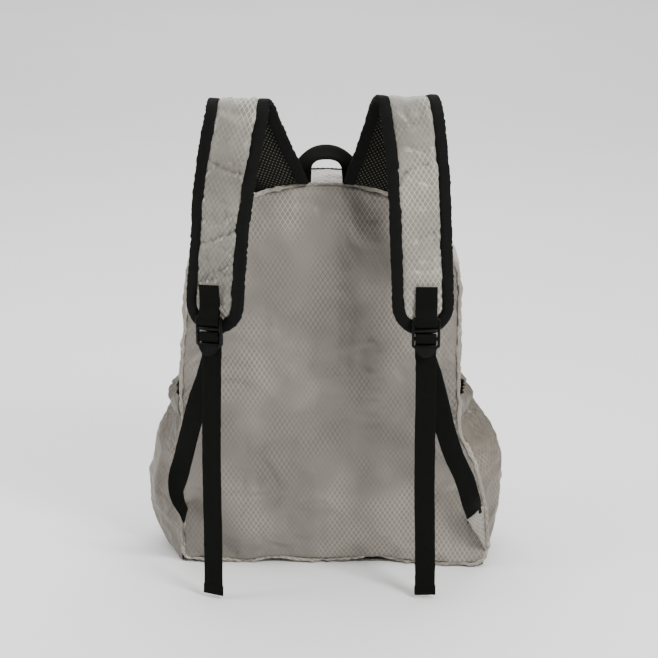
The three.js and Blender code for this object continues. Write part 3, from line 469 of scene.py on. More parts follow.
def tube(name, sections, uv, material, closed=False):
    """A solid through rings of points, sections[ring, point, 3]: closed on itself, or capped at both ends."""
    rings, count, _ = sections.shape
    last = (rings - 1) * count
    faces = grid_faces(rings, count, ring=True)
    points, flat = sections.reshape(-1, 3), uv.reshape(-1, 2)
    if closed:
        faces += [(last + k, last + (k + 1) % count, (k + 1) % count, k) for k in range(count)]
    else:
        base = len(points)
        points = np.vstack([points, sections[0].mean(0), sections[-1].mean(0)])
        flat = np.vstack([flat, uv[0].mean(0), uv[-1].mean(0)])
        faces += [((k + 1) % count, k, base) for k in range(count)]
        faces += [(last + k, last + (k + 1) % count, base + 1) for k in range(count)]
    return face_out(mesh_object(name, points, faces, flat, material))


SETTLE_FRAMES = 14
CLOTH_SETTINGS = {
    "quality": 6,
    "mass": 0.06,
    "air_damping": 2,
    "tension_stiffness": 25,
    "compression_stiffness": 25,
    "shear_stiffness": 8,
    "bending_stiffness": 0.05,
    "tension_damping": 8,
    "compression_damping": 8,
    "shear_damping": 8,
    "bending_damping": 0.5,
    "vertex_group_mass": "hold",
    "pin_stiffness": 1,
}


def settle(grid, hold, grow, seed, limit):
    """Lets a grid of cloth, cut a little too large, settle into wrinkles. Hold is 1 where it is sewn."""
    rows, columns, _ = grid.shape
    rough = grid + grid_normals(grid) * (noise(grid, 14, seed) * 0.35 * (hold < 1))[..., None]
    mesh = bpy.data.meshes.new("settling")
    mesh.from_pydata((rough.reshape(-1, 3) * MM).tolist(), [], grid_faces(rows, columns))
    obj = bpy.data.objects.new("settling", mesh)
    scene = bpy.context.scene
    scene.collection.objects.link(obj)
    group = obj.vertex_groups.new(name="hold")
    rounded = np.round(hold.ravel(), 2)
    for weight in np.unique(rounded):
        group.add(np.nonzero(rounded == weight)[0].tolist(), float(weight), "REPLACE")
    cloth = obj.modifiers.new("cloth", "CLOTH")
    for key, value in CLOTH_SETTINGS.items():
        setattr(cloth.settings, key, value)
    cloth.settings.shrink_min = -grow
    cloth.settings.effector_weights.gravity = 0
    cloth.collision_settings.use_collision = False
    cloth.collision_settings.use_self_collision = False
    cloth.point_cache.frame_start = 1
    cloth.point_cache.frame_end = SETTLE_FRAMES
    for number in range(1, SETTLE_FRAMES + 1):
        scene.frame_set(number)
    settled = obj.evaluated_get(bpy.context.evaluated_depsgraph_get()).to_mesh()
    co = np.zeros(len(settled.vertices) * 3)
    settled.vertices.foreach_get("co", co)
    bpy.data.objects.remove(obj)
    scene.frame_set(1)
    moved = co.reshape(grid.shape) / MM - grid
    length = np.linalg.norm(moved, axis=-1, keepdims=True)
    return grid + np.nan_to_num(moved * np.minimum(1, limit / np.maximum(length, 1e-6)))


def border_hold(rows, columns, inner):
    """Weights that hold a grid at its border: 1 there and the given weight inside."""
    hold = np.full((rows, columns), float(inner))
    hold[[0, -1]] = 1
    hold[:, [0, -1]] = 1
    return hold


# Materials


class Nodes:
    """Short hand for building a node tree."""

    def __init__(self, material):
        material.use_nodes = True
        self.tree = material.node_tree
        self.tree.nodes.clear()

    def add(self, kind, *inputs, **settings):
        node = self.tree.nodes.new(kind)
        for key, value in settings.items():
            setattr(node, key, value)
        for place, value in enumerate(inputs):
            self.put(node.inputs[place], value)
        return node

    def put(self, socket, value):
        if isinstance(value, bpy.types.NodeSocket):
            self.tree.links.new(value, socket)
        elif value is not None:
            socket.default_value = value

    def math(self, operation, *inputs):
        return self.add("ShaderNodeMath", *inputs, operation=operation).outputs[0]

    def range(self, value, low, high, to_low=0.0, to_high=1.0):
        node = self.add("ShaderNodeMapRange", value, low, high, to_low, to_high)
        node.interpolation_type = "SMOOTHSTEP"
        return node.outputs[0]

    def spread(self, value, low, high, to_low, to_high):
        return self.add("ShaderNodeMapRange", value, low, high, to_low, to_high).outputs[0]

    def noise(self, vector, scale, detail=3.0, rough=0.55):
        node = self.add("ShaderNodeTexNoise")
        self.put(node.inputs["Vector"], vector)
        self.put(node.inputs["Scale"], scale)
        self.put(node.inputs["Detail"], detail)
        self.put(node.inputs["Roughness"], rough)
        return node.outputs[0]

    def colour(self, share, a, b):
        node = self.add("ShaderNodeMix", data_type="RGBA")
        self.put(node.inputs[0], share)
        self.put(node.inputs[6], a)
        self.put(node.inputs[7], b)
        return node.outputs[2]

    def bump(self, height, distance, strength=1.0, before=None):
        node = self.add("ShaderNodeBump")
        self.put(node.inputs["Strength"], strength)
        self.put(node.inputs["Distance"], distance)
        self.put(node.inputs["Height"], height)
        self.put(node.inputs["Normal"], before)
        return node.outputs[0]

    def finish(self, colour, roughness, normal, **fixed):
        shader = self.add("ShaderNodeBsdfPrincipled")
        self.put(shader.inputs["Base Color"], colour)
        self.put(shader.inputs["Roughness"], roughness)
        self.put(shader.inputs["Normal"], normal)
        for key, value in fixed.items():
            self.put(shader.inputs[key.replace("_", " ")], value)
        self.add("ShaderNodeOutputMaterial", shader.outputs[0])


def places(nodes):
    """The cloth's flat place, split, and its place in space."""
    flat = nodes.add("ShaderNodeUVMap", uv_map="flat").outputs[0]
    split = nodes.add("ShaderNodeSeparateXYZ", flat)
    solid = nodes.add("ShaderNodeTexCoord").outputs["Object"]
    return flat, split.outputs[0], split.outputs[1], solid


def lines(nodes, value, width):
    """1 on lines at whole numbers of the value, 0 between them."""
    share = nodes.math("FRACT", value)
    edge = nodes.math("ABSOLUTE", nodes.math("SUBTRACT", nodes.math("MULTIPLY", share, 2), 1))
    return nodes.range(edge, 1 - width, 1.0)


CELL = (0.005, 0.0078)  # the diamond's width and height, in metres
THREAD = 0.19  # the thicker threads' share of a cell
DOT_PITCH = 0.0045


def ripstop(name, light, dark, rough=0.42, seed=0.0):
    """Thin coated cloth with a diamond grid of thicker threads, painted pale in some places and dark in
    others: painted highlight and painted shade on the raised threads.
    """
    material = bpy.data.materials.new(name)
    n = Nodes(material)
    flat, u, v, solid = places(n)
    moved = n.add("ShaderNodeVectorMath", solid, (seed, seed, seed), operation="ADD").outputs[0]
    a, b = n.math("DIVIDE", u, CELL[0]), n.math("DIVIDE", v, CELL[1])
    rising, falling = lines(n, n.math("ADD", a, b), THREAD), lines(n, n.math("SUBTRACT", a, b), THREAD)
    grid = n.math("MAXIMUM", rising, falling)
    cloud = n.noise(moved, 11, 3)
    patch = n.noise(moved, 48, 3)
    broad = n.math("MULTIPLY", n.range(cloud, 0.34, 0.66), 0.65)
    tone = n.math("ADD", broad, n.math("MULTIPLY", patch, 0.35))
    cloth = n.colour(tone, dark, light)
    # The threads' pale colour is a painted highlight and their deep colour is painted shade; the noise below
    # picks where each falls.
    pale = tuple(min(c * 2.5, 0.9) for c in light[:3]) + (1,)
    deep = tuple(c * 0.3 for c in dark[:3]) + (1,)
    side = n.range(n.noise(moved, 9, 2), 0.4, 0.6)
    shown = n.range(n.noise(moved, 23, 3), 0.3, 0.6, 0.45, 1.0)
    # Threads coloured with painted highlight or painted shade over the cloth's own tone.
    colour = n.colour(n.math("MULTIPLY", grid, shown), cloth, n.colour(side, deep, pale))
    rough_at = n.spread(patch, 0.3, 0.7, rough - 0.06, rough + 0.08)
    normal = n.bump(n.noise(solid, 60, 5, 0.6), 0.0022, 0.55)
    normal = n.bump(grid, 0.00025, 0.9, normal)
    normal = n.bump(n.noise(flat, 2600, 2), 0.00006, 0.5, normal)
    n.finish(colour, rough_at, normal, Specular_IOR_Level=0.5)
    return material


def woven(name, dark, light, rib=0.0011, shine=0.1):
    """Black woven tape with fine ribs across it."""
    material = bpy.data.materials.new(name)
    n = Nodes(material)
    _, u, v, solid = places(n)
    wave = n.math("SINE", n.math("MULTIPLY", v, 2 * PI / rib))
    cross = n.math("SINE", n.math("MULTIPLY", u, 2 * PI / (rib * 1.3)))
    weave = n.math("MULTIPLY", n.math("ADD", wave, n.math("MULTIPLY", cross, 0.5)), 0.5)
    cloud = n.noise(solid, 60, 4)
    ribs = n.math("MULTIPLY", n.range(weave, -0.7, 0.7), 0.5)
    colour = n.colour(n.math("ADD", ribs, n.math("MULTIPLY", cloud, 0.5)), dark, light)
    normal = n.bump(weave, 0.0001, 0.9)
    normal = n.bump(n.noise(solid, 420, 3), 0.0002, 0.5, normal)
    rough_at = n.spread(cloud, 0.3, 0.7, 0.64, 0.78)
    n.finish(colour, rough_at, normal, Specular_IOR_Level=shine)
    return material


def air_mesh(name):
    """Black spacer mesh with staggered olive dots."""
    material = bpy.data.materials.new(name)
    n = Nodes(material)
    flat, u, v, solid = places(n)

    def dots(shift):
        a = n.math("FRACT", n.math("ADD", n.math("DIVIDE", u, DOT_PITCH), shift))
        b = n.math("FRACT", n.math("ADD", n.math("DIVIDE", v, DOT_PITCH * 1.1), shift))
        a, b = n.math("SUBTRACT", a, 0.5), n.math("SUBTRACT", b, 0.5)
        away = n.math("SQRT", n.math("ADD", n.math("MULTIPLY", a, a), n.math("MULTIPLY", b, b)))
        return n.range(away, 0.23, 0.13)

    dot = n.math("MAXIMUM", dots(0.0), dots(0.5))
    cloud = n.noise(solid, 90, 3)
    thread = n.colour(cloud, (0.003, 0.003, 0.0025, 1), (0.007, 0.007, 0.006, 1))
    pale = n.colour(cloud, (0.045, 0.045, 0.034, 1), (0.1, 0.098, 0.075, 1))
    normal = n.bump(dot, 0.0007, -0.8)
    normal = n.bump(n.noise(flat, 2400, 2), 0.0001, 0.5, normal)
    rough_at = n.spread(cloud, 0.2, 0.8, 0.75, 0.95)
    n.finish(n.colour(dot, thread, pale), rough_at, normal, Specular_IOR_Level=0.08)
    return material


def moulded(name):
    """Black moulded plastic with a fine grain."""
    material = bpy.data.materials.new(name)
    n = Nodes(material)
    solid = n.add("ShaderNodeTexCoord").outputs["Object"]
    grain = n.noise(solid, 1500, 2)
    cloud = n.noise(solid, 120, 3)
    colour = n.colour(cloud, (0.002, 0.002, 0.002, 1), (0.004, 0.004, 0.0038, 1))
    rough_at = n.spread(cloud, 0.3, 0.7, 0.3, 0.42)
    n.finish(colour, rough_at, n.bump(grain, 0.00008, 0.5), Specular_IOR_Level=0.14)
    return material


TAN = ripstop("ripstop", (0.212, 0.191, 0.163, 1), (0.172, 0.154, 0.131, 1))
# A darker copy of the same ripstop: painted shade on the side pockets and their rims.
POCKET_TAN_PAINTED_SHADE = ripstop("ripstop_pocket_painted_shade", (0.165, 0.144, 0.115, 1), (0.115, 0.1, 0.08, 1), seed=4.4)
# A lighter copy of the same ripstop: painted light on the top panel, which faces up to the lamps.
TOP_TAN_PAINTED_LIT = ripstop("ripstop_top_painted_lit", (0.44, 0.41, 0.36, 1), (0.29, 0.265, 0.228, 1), rough=0.5, seed=1.3)
STRAP_TAN = ripstop("ripstop_strap", (0.27, 0.254, 0.215, 1), (0.15, 0.14, 0.118, 1), rough=0.34, seed=2.1)
# A lighter copy of the same ripstop: painted highlight on the raised seam rolls.
PIPING_PAINTED_LIT = ripstop("piping_painted_highlight", (0.36, 0.33, 0.272, 1), (0.2, 0.18, 0.148, 1), rough=0.5, seed=3.7)
WEBBING = woven("webbing", (0.0018, 0.0021, 0.0016, 1), (0.0065, 0.0073, 0.0057, 1), shine=0.05)
BINDING = woven("binding", (0.0014, 0.0015, 0.0014, 1), (0.0088, 0.009, 0.0082, 1), rib=0.0016, shine=0.07)
ZIPPER = woven("zip_tape", (0.004, 0.0038, 0.0034, 1), (0.012, 0.0115, 0.01, 1), rib=0.0012)
AIR_MESH = air_mesh("spacer_mesh")
PLASTIC = moulded("plastic")


def keep(obj, *nodes, slot, fill=None):
    """The piece rides on the bag and stands for the named solids."""
    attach(obj, "root")
    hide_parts(*nodes)
    return obj


# Panels

MIDDLE = (0, 0, BAG_HEIGHT / 2)


def upright_panel(front, columns, rows, bulge, seed):
    """A large panel: bulged, dented and crinkled."""
    x, z = panel_grid(front, columns, rows)
    out = 1 if front else -1
    dents = FOLD_DEPTH * fold_at(x, z) if not front else 0
    full = fullness(x, z, front)
    y = depth_at(x, z, front) + out * full * (bulge - dents)
    grid = np.stack([x, y, z], -1)
    grid = settle(grid, border_hold(rows, columns, 0.02), 0.022, seed, limit=5)
    free = smooth(0, 0.35, full)
    flat = np.stack([x, 0 * x, z], -1)
    push = 1.2 * crumple(flat, seed, 46) + 0.8 * noise(flat, 22, seed + 9)
    corner = np.exp(-(((x + 62) / 40) ** 2) - ((z - 78) / 58) ** 2)
    push = push + (0.35 + 1.5 * corner) * 1.6 * crumple(flat, seed + 5, 27)
    near = np.exp(-((full / 0.22) ** 2)) * smooth(0, 0.05, full)
    push = push + near * 1.5 * noise(flat * (1, 1, 0.35), 9, seed + 2)
    grid[..., 1] += out * free * push
    uv = np.stack([x, z], -1) * MM
    return grid, uv


grid, uv = upright_panel(0, 131, 171, BACK_BULGE, 3)
keep(shell("back_cloth", grid, uv, TAN, MIDDLE), "back_panel", slot="shell_cloth")

grid, uv = upright_panel(1, 71, 91, FRONT_BULGE, 21)
keep(shell("front_cloth", grid, uv, TAN, MIDDLE), "front_panel", slot="shell_cloth")


def gusset(name, node, turns, depths, material, seed):
    """A cloth strip between the back hem and the front hem."""
    turn, depth = np.meshgrid(turns, depths)
    grid = gusset_at(turn, depth)
    hem_length = along_line(grid[len(depths) // 2])
    grid = settle(grid, border_hold(*turn.shape, 0.02), 0.02, seed, limit=4)
    share = (depth - depths[0]) / np.ptp(depths)
    edge = smooth(0, 0.18, share) * smooth(0, 0.18, 1 - share)
    push = 1.5 * crumple(grid, seed, 40) + 0.7 * noise(grid, 17, seed + 4)
    grid = grid + outward(grid, MIDDLE) * (edge * push)[..., None]
    across = np.linalg.norm(gusset_at(turn, depth) - gusset_at(turn, 0 * depth), axis=-1)
    uv = np.stack([across, np.broadcast_to(hem_length[None], turn.shape)], -1) * MM
    keep(shell(name, grid, uv, material, MIDDLE), node, slot="shell_cloth")


TAPE = ZIP_TAPE / 2 / TOP_DEPTH
EDGE = 1.9 / TOP_DEPTH
TURN_GAP = 0.0005  # gap at the ends of the top, as a share of the hem
TAPE_GAP = 0.003  # gap beside the tape, as a share of the depth
TOP_START = ZIP_END + TURN_GAP
across_side = np.linspace(EDGE, 1 - EDGE, 41)
along_top = np.linspace(TOP_START, 1 - TOP_START, 141)
rear_of_zip = np.linspace(EDGE, ZIP_PLACE - TAPE - TAPE_GAP, 24)
front_of_zip = np.linspace(ZIP_PLACE + TAPE + TAPE_GAP, 1 - EDGE, 13)
gusset("side_cloth_left", "side_gusset_left", np.linspace(0, ZIP_END, 61), across_side, TAN, 31)
gusset("side_cloth_right", "side_gusset_right", np.linspace(1, 1 - ZIP_END, 61), across_side, TAN, 37)
# The top's strips take the lighter ripstop copy, which is painted light.
gusset("top_cloth_rear", "top_gusset_rear", along_top, rear_of_zip, TOP_TAN_PAINTED_LIT, 41)
gusset("top_cloth_front", "top_gusset_front", along_top, front_of_zip, TOP_TAN_PAINTED_LIT, 47)


def zip_chain():
    """Tape with a raised coil of small teeth down its middle."""
    turns = np.linspace(TOP_START, 1 - TOP_START, 561)
    offsets = np.array([-13, -11, -7, -3.6, -3, -2.2, -0.5, 0, 0.5, 2.2, 3, 3.6, 7, 11, 13])
    grid = gusset_at(*np.meshgrid(turns, ZIP_PLACE + offsets / TOP_DEPTH))
    tooth = 0.5 + 0.5 * np.cos(np.arange(len(turns)) * PI / 2)
    chain = (np.abs(offsets) < 3.2)[:, None] * (1.0 + 0.5 * tooth[None])
    groove = (np.abs(offsets) < 0.2)[:, None] * 0.7
    grid = grid + outward(grid, MIDDLE) * (chain - groove + 0.15 * noise(grid, 20, 2))[..., None]
    length = along_line(grid[len(offsets) // 2])
    uv = np.stack(np.broadcast_arrays(offsets[:, None], length[None]), -1) * MM
    return shell("zip_and_tape", grid, uv, ZIPPER, MIDDLE)


keep(zip_chain(), "main_zip", slot="zip_tape")


def base_cloth():
    """The cloth under the bag, a little uneven."""
    share = np.linspace(-1, 1, 61)
    depth = np.linspace(EDGE, 1 - EDGE, 31)
    left = gusset_at(0 * depth, depth)
    right = gusset_at(0 * depth + 1, depth)
    flat = mix(left[:, None], right[:, None], ((share + 1) / 2)[None, :, None])
    flat[..., 2] = 0
    x, y = flat[..., 0], flat[..., 1]
    rear = depth_at(x, 0 * x + 5, 0) + 2
    y[:] = mix(rear, y[-1:], np.linspace(0, 1, len(depth))[:, None])
    inner = np.minimum(1 - np.abs(share)[None] ** 6, np.minimum(depth, 1 - depth)[:, None] * 8)
    flat[..., 2] = 0.9 + np.clip(inner, 0, 1) * (0.5 + 0.5 * noise(flat, 26, 4))
    return shell("base_cloth", flat, flat[..., :2] * MM, TAN, (0, 0, 50))


keep(base_cloth(), "base_panel", slot="shell_cloth")


# Seams


def rim_line(front, count):
    """The closed rim of an upright panel as evenly spaced points, with the way out from it."""
    x, z = panel_grid(front, 161, 161)
    x, z = (np.concatenate([a[:, 0], a[-1, 1:], a[-2::-1, -1], a[0, -2:0:-1]]) for a in (x, z))
    line = np.stack([x, depth_at(x, z, front), z], -1)
    loop = np.vstack([line, line[:1]])
    length = along_line(loop)
    at = np.linspace(0, length[-1], count, endpoint=False)
    even = np.stack([np.interp(at, length, loop[:, k]) for k in range(3)], -1)
    along = unit(np.roll(even, -1, 0) - np.roll(even, 1, 0))
    out = unit(np.stack([-along[:, 2], 0 * at, along[:, 0]], -1))
    return even, out, at


def seam(name, node, front, seed):
    """A rolled and puckered seam allowance round an upright panel."""
    count, sides = 760, 12
    line, out, at = rim_line(front, count)
    low = smooth(40, 5, line[:, 2])
    flank = smooth(0.4, 0.9, np.abs(out[:, 0]))
    loose = 0.35 if front else 1
    wave = noise(line, 11, seed) * loose * (0.5 + 1.7 * low + 1.3 * flank)
    wave2 = noise(line, 6, seed + 1) * loose * (0.4 + 1.5 * low + 0.9 * flank)
    thick = WELT_RADIUS * (1 + 0.22 * noise(line, 7, seed + 2))
    face = np.array([0.0, 1.0 if front else -1.0, 0.0])
    centre = line + out * (WELT_RADIUS * 0.9 + 0.55 * wave)[:, None] + face * (0.4 + 0.8 * wave2)[:, None]
    centre[:, 2] = np.maximum(centre[:, 2], WELT_RADIUS + 0.2)
    angle = np.linspace(0, 2 * PI, sides, endpoint=False)
    squash = 0.75 + 0.25 * np.cos(2 * angle)
    ring = (
        centre[:, None]
        + out[:, None] * (thick[:, None] * np.cos(angle)[None] * 1.05)[..., None]
        + face * (thick[:, None] * (np.sin(angle) * squash)[None])[..., None]
    )
    ring = ring + out[:, None] * (0.35 * noise(ring * (1, 3, 1), 3.2, seed + 3))[..., None]
    ring[..., 2] = np.maximum(ring[..., 2], 0.25)
    uv = np.stack(np.broadcast_arrays(angle[None] * 2, at[:, None]), -1) * MM
    # The seam roll uses the lighter ripstop copy, a painted highlight.
    return keep(tube(name, ring, uv, PIPING_PAINTED_LIT, closed=True), node, slot="shell_cloth")


seam("back_seam", "seam_welt_back", 0, 51)
seam("front_seam", "seam_welt_front", 1, 57)


# Side pockets


def pocket_surface(side, u, h):
    """Points of a pocket: u from back to front and h from its foot to its rim."""
    u = np.clip(u, 0, 1)
    z = POCKET_FLOOR + POCKET_HEIGHT * h
    on_hem = np.maximum(z, 1.9)
    hem = side_at(on_hem, side, 0)
    back = depth_at(hem, on_hem, 0) + POCKET_INSET
    front = depth_at(0 * hem, on_hem, 1) - POCKET_INSET
    y = mix(back, front, u)
    share = np.clip((y - back + POCKET_INSET) / (front - back + 2 * POCKET_INSET), 0, 1)
    cloth = np.abs(mix(hem, side_at(on_hem, side, 1), share)) + GUSSET_BULGE * np.sin(PI * share) ** 0.9
    arch = np.sin(PI * u)
    belly = POCKET_BULGE * follow(POCKET_SHAPE, 1 if side < 0 else 2, np.minimum(h, 1)) * arch**0.75
    return np.stack([side * (cloth + 2.7 + belly), y, z], -1)


def pocket_gathers(side, u, z, seed):
    """Pleats that start at the rim and fade downwards, -1 to 1."""
    along = u * 118 + 2.5 * noise(np.stack([0 * u, u * 60, z], -1), 17, seed)
    spot = np.stack([along, 0 * u + seed, z * 0.25], -1)
    return np.clip(1.5 * noise(spot, 5.2, seed) + 0.5 * np.sin(along * 2 * PI / 8.3), -1.6, 1.6)


def pocket(side, name, seed):
    """The pocket's cloth up to the seam under its gathered rim."""
    u, h = np.meshgrid((1 - np.cos(np.linspace(0, PI, 101))) / 2, np.linspace(0, 1.0, 101))
    grid = pocket_surface(side, u, h)
    grid = settle(grid, border_hold(*u.shape, 0.04), 0.02, seed, limit=4)
    inside = (0, 0, POCKET_HEIGHT / 2)
    arch = np.sin(PI * u) ** 0.5
    z = h * POCKET_HEIGHT
    near_rim = smooth(POCKET_HEIGHT - 52, POCKET_HEIGHT, z) ** 1.4
    push = 2.7 * near_rim * pocket_gathers(side, u, z, seed)
    push = push + (1 - 0.7 * near_rim) * (1.5 * crumple(grid, seed, 52) + 0.5 * noise(grid, 18, seed + 5))
    push = push - 1.6 * smooth(POCKET_HEIGHT - 5, POCKET_HEIGHT, z)
    grid = grid + outward(grid, inside) * (arch * push)[..., None]
    uv = np.stack([u * 135, z], -1) * MM
    # The pocket cloth is the darker ripstop copy: painted shade.
    keep(shell("pocket_" + name, grid, uv, POCKET_TAN_PAINTED_SHADE, inside), "side_pocket_" + name, slot="shell_cloth")


def pocket_rim(side, name, seed):
    """The gathered channel round the hidden elastic: a swollen, pleated roll."""
    u = (1 - np.cos(np.linspace(0, PI, 181))) / 2
    turn = np.linspace(0, 2 * PI, 37)[:-1]
    uu, tt = np.meshgrid(u, turn, indexing="ij")
    climb = 0.5 - 0.5 * np.cos(tt)
    arch = np.sin(PI * uu)
    z = POCKET_HEIGHT + 0.5 + ELASTIC_HEIGHT * climb
    base = pocket_surface(side, uu, z / POCKET_HEIGHT)
    roll = ELASTIC_SWELL * np.sin(PI * climb) ** 2 - ELASTIC_DRAW * climb**2
    pleat = pocket_gathers(side, uu, z, seed)
    thick = 1.5 + 0.9 * arch**0.5 * np.sin(PI * climb) * (1 + 0.5 * pleat)
    proud = roll * arch + np.sin(tt) * thick + 0.8 + 1.6 * arch**0.5 * pleat
    proud = proud + 0.35 * noise(base, 3.5, seed + 2)
    base[..., 0] += side * proud
    base[..., 2] += 1.6 * noise(base * (1, 1, 0.2), 8, seed + 4) * arch
    length = along_line(base[:, 9])
    uv = np.stack(np.broadcast_arrays(length[:, None] * 1.5, tt * 8), -1) * MM
    # The rim uses the darker ripstop copy: painted shade.
    keep(tube("pocket_rim_" + name, base, uv, POCKET_TAN_PAINTED_SHADE), "pocket_elastic_" + name, slot="elastic")


for side, name, seed in ((-1, "left", 61), (1, "right", 67)):
    pocket(side, name, seed)
    pocket_rim(side, name, seed + 2)


# Straps


class Line:
    """A smooth line through points, read by the distance along it."""

    def __init__(self, stops):
        stops = np.array(stops, float)
        full = np.vstack([2 * stops[0] - stops[1], stops, 2 * stops[-1] - stops[-2]])
        out = []
        for k in range(len(stops) - 1):
            p0, p1, p2, p3 = full[k : k + 4]
            d0, d1, d2 = (max(np.linalg.norm(b - a) ** 0.5, 1e-4) for a, b in ((p0, p1), (p1, p2), (p2, p3)))
            lead = ((p1 - p0) / d0 - (p2 - p0) / (d0 + d1) + (p2 - p1) / d1) * d1
            trail = ((p2 - p1) / d1 - (p3 - p1) / (d1 + d2) + (p3 - p2) / d2) * d1
            t = np.linspace(0, 1, 60, endpoint=False)[:, None]
            square = 3 * (p2 - p1) - 2 * lead - trail
            cube = 2 * (p1 - p2) + lead + trail
            out.append(p1 + lead * t + square * t**2 + cube * t**3)
        self.points = np.vstack([*out, stops[-1:]])
        self.places = along_line(self.points)
        self.length = self.places[-1]

    def at(self, distance):
        inside = np.clip(distance, 0, self.length)
        place = np.stack([np.interp(inside, self.places, self.points[:, k]) for k in range(3)], -1)
        return place + self.heading(distance) * (np.asarray(distance) - inside)[..., None]

    def heading(self, distance):
        inside = np.clip(distance, 1.5, self.length - 1.5)
        ends = [
            np.stack([np.interp(inside + step, self.places, self.points[:, k]) for k in range(3)], -1)
            for step in (-1.5, 1.5)
        ]
        return unit(ends[1] - ends[0])


class Strap:
    """One shoulder strap's middle line and its frame: across, and out from the wearer."""

    def __init__(self, side):
        self.side = side
        self.root = STRAP_MIDDLE + side * ROOT_SPACING / 2
        base = above_seam(self.root, ROOT_LIFT + 0.8)
        y = depth_at(self.root, base, 0)
        self.line = Line(
            [
                (
                    self.root + side * STRAP_SPREAD[side] * (left if side < 0 else right),
                    y - STRAP_REACH * reach,
                    base + STRAP_RISE[side] * rise - (STRAP_RISE[side] + STRAP_HANG) * fall,
                )
                for rise, fall, reach, left, right in STRAP_ROUTE
            ]
        )
        self.length = self.line.length
        self.straight = self.length - PAD_HALF

    def frame(self, distance):
        heading = self.line.heading(distance)
        right = np.array([1.0, 0, 0])
        flat = unit(right - heading * heading[..., :1])
        roll = -self.side * STRAP_ROLL[self.side] * smooth(0.42, 0.75, distance / self.length)[..., None]
        across = flat * np.cos(roll) + np.cross(heading, flat) * np.sin(roll)
        return self.line.at(distance), heading, across, np.cross(heading, across)

    def point(self, distance, fan, reach, rise):
        """Distance down the strap, fan angle of the rounded end, reach across and rise outwards."""
        distance, fan, reach, rise = np.broadcast_arrays(distance, fan, reach, rise)
        at, _, across, out = self.frame(distance + np.abs(reach) * np.sin(fan))
        place = at + across * (reach * np.cos(fan))[..., None] + out * rise[..., None]
        start, _, start_across, start_out = self.frame(np.zeros(1))
        begin = start[0] + start_across[0] * reach[..., None] + start_out[0] * rise[..., None]
        hold = np.clip(1 - 10 * distance / self.length, 0, 1) ** 2
        place[..., 2] += hold * (above_seam(begin[..., 0], ROOT_LIFT + 0.8) - begin[..., 2])
        return place

    def rows(self, step, fans):
        count = int(self.straight / step)
        distance = np.r_[np.linspace(0, self.straight, count), np.full(fans, self.straight)]
        fan = np.r_[np.zeros(count), np.linspace(0, PI / 2, fans + 1)[1:]]
        return distance, fan


# Creases across a strap: distance from the top of its arch, slant, depth.
STRAP_CREASES = {
    -1: [
        (20, 0.3, 1.0),
        (44, -0.3, 1.1),
        (67, 0.25, 2.4),
        (71, -0.45, 1.5),
        (98, 0.4, 1.1),
        (118, -0.2, 1.2),
        (137, -0.28, 3.0),
        (146, 0.2, 1.4),
        (168, -0.55, 2.2),
        (180, -0.5, 1.8),
        (200, 0.2, 1.0),
    ],
    1: [
        (24, -0.3, 1.2),
        (51, 0.2, 1.6),
        (73, -0.37, 3.2),
        (79, 0.35, 1.3),
        (100, -0.5, 1.0),
        (137, -0.2, 1.8),
        (158, -0.1, 1.4),
        (168, -0.15, 1.6),
        (190, 0.2, 0.9),
    ],
}


def strap_pad(strap, name, seed):
    """The ripstop face of a strap, with its creases."""
    distance, fan = strap.rows(2.5, 18)
    reach = PAD_HALF * np.sin(np.linspace(-PI / 2, PI / 2, 41))
    s, r = np.meshgrid(distance, reach, indexing="ij")
    f = np.broadcast_to(fan[:, None], s.shape)
    flat_x, flat_s = r * np.cos(f), s + np.abs(r) * np.sin(f)
    top = strap.line.points[:, 2].argmax()
    past = flat_s - strap.line.places[top]
    bound = PAD_HALF - BINDING_WIDTH + 2.2
    across = np.clip(np.hypot(flat_x, np.clip(flat_s - strap.straight, 0, None)) / bound, 0, 1.6)
    inside = smooth(1.15, 0.75, across)
    sheet = np.stack([flat_x, 0 * flat_x + strap.side * 40, flat_s], -1)
    push = 0
    for where, slant, depth in STRAP_CREASES[strap.side]:
        off = past - where - slant * flat_x - 3.5 * noise(sheet, 14, seed + where)
        push = push - 1.5 * depth * np.exp(-np.abs(off) / 1.6) + 0.6 * depth * np.exp(-(((off - 5) / 4) ** 2))
    push = push + 1.8 * crumple(sheet, seed, 21) + 0.6 * noise(sheet, 9, seed + 1)
    rise = np.maximum(2.0 + inside * (2.8 + push), 0.2)
    upper = strap.point(s, f, r, rise)
    lower = strap.point(s, f, r, 0 * r - 0.9)
    uv = np.stack([flat_x, flat_s], -1) * MM
    return folded_shell("pad_" + name, upper, lower, uv, STRAP_TAN)


def strap_mesh(strap, name, seed):
    """The spacer mesh under the pad."""
    distance, fan = strap.rows(4, 12)
    s, r = np.meshgrid(distance, np.linspace(-PAD_HALF, PAD_HALF, 15), indexing="ij")
    f = np.broadcast_to(fan[:, None], s.shape)
    sheet = np.stack([r, 0 * r, s], -1)
    under = strap.point(s, f, r, -1.9 + 0.25 * noise(sheet, 15, seed))
    over = strap.point(s, f, r, 0 * r - 1.0)
    uv = np.stack([r * np.cos(f), s + np.abs(r) * np.sin(f)], -1) * MM
    return folded_shell("mesh_" + name, over, under, uv, AIR_MESH)


def folded_shell(name, upper, lower, uv, material):
    """A closed layer whose last row of points meets itself."""
    faces = layer_faces(*upper.shape[:2], last_row=False)
    flat = uv.reshape(-1, 2)
    points = np.vstack([upper.reshape(-1, 3), lower.reshape(-1, 3)])
    obj = mesh_object(name, points, faces, np.vstack([flat, flat]), material)
    weld = obj.modifiers.new("weld", "WELD")
    weld.merge_threshold = 1e-5
    graph = bpy.context.evaluated_depsgraph_get()
    mesh = bpy.data.meshes.new_from_object(obj.evaluated_get(graph))
    obj.modifiers.clear()
    obj.data = mesh
    return face_out(obj)


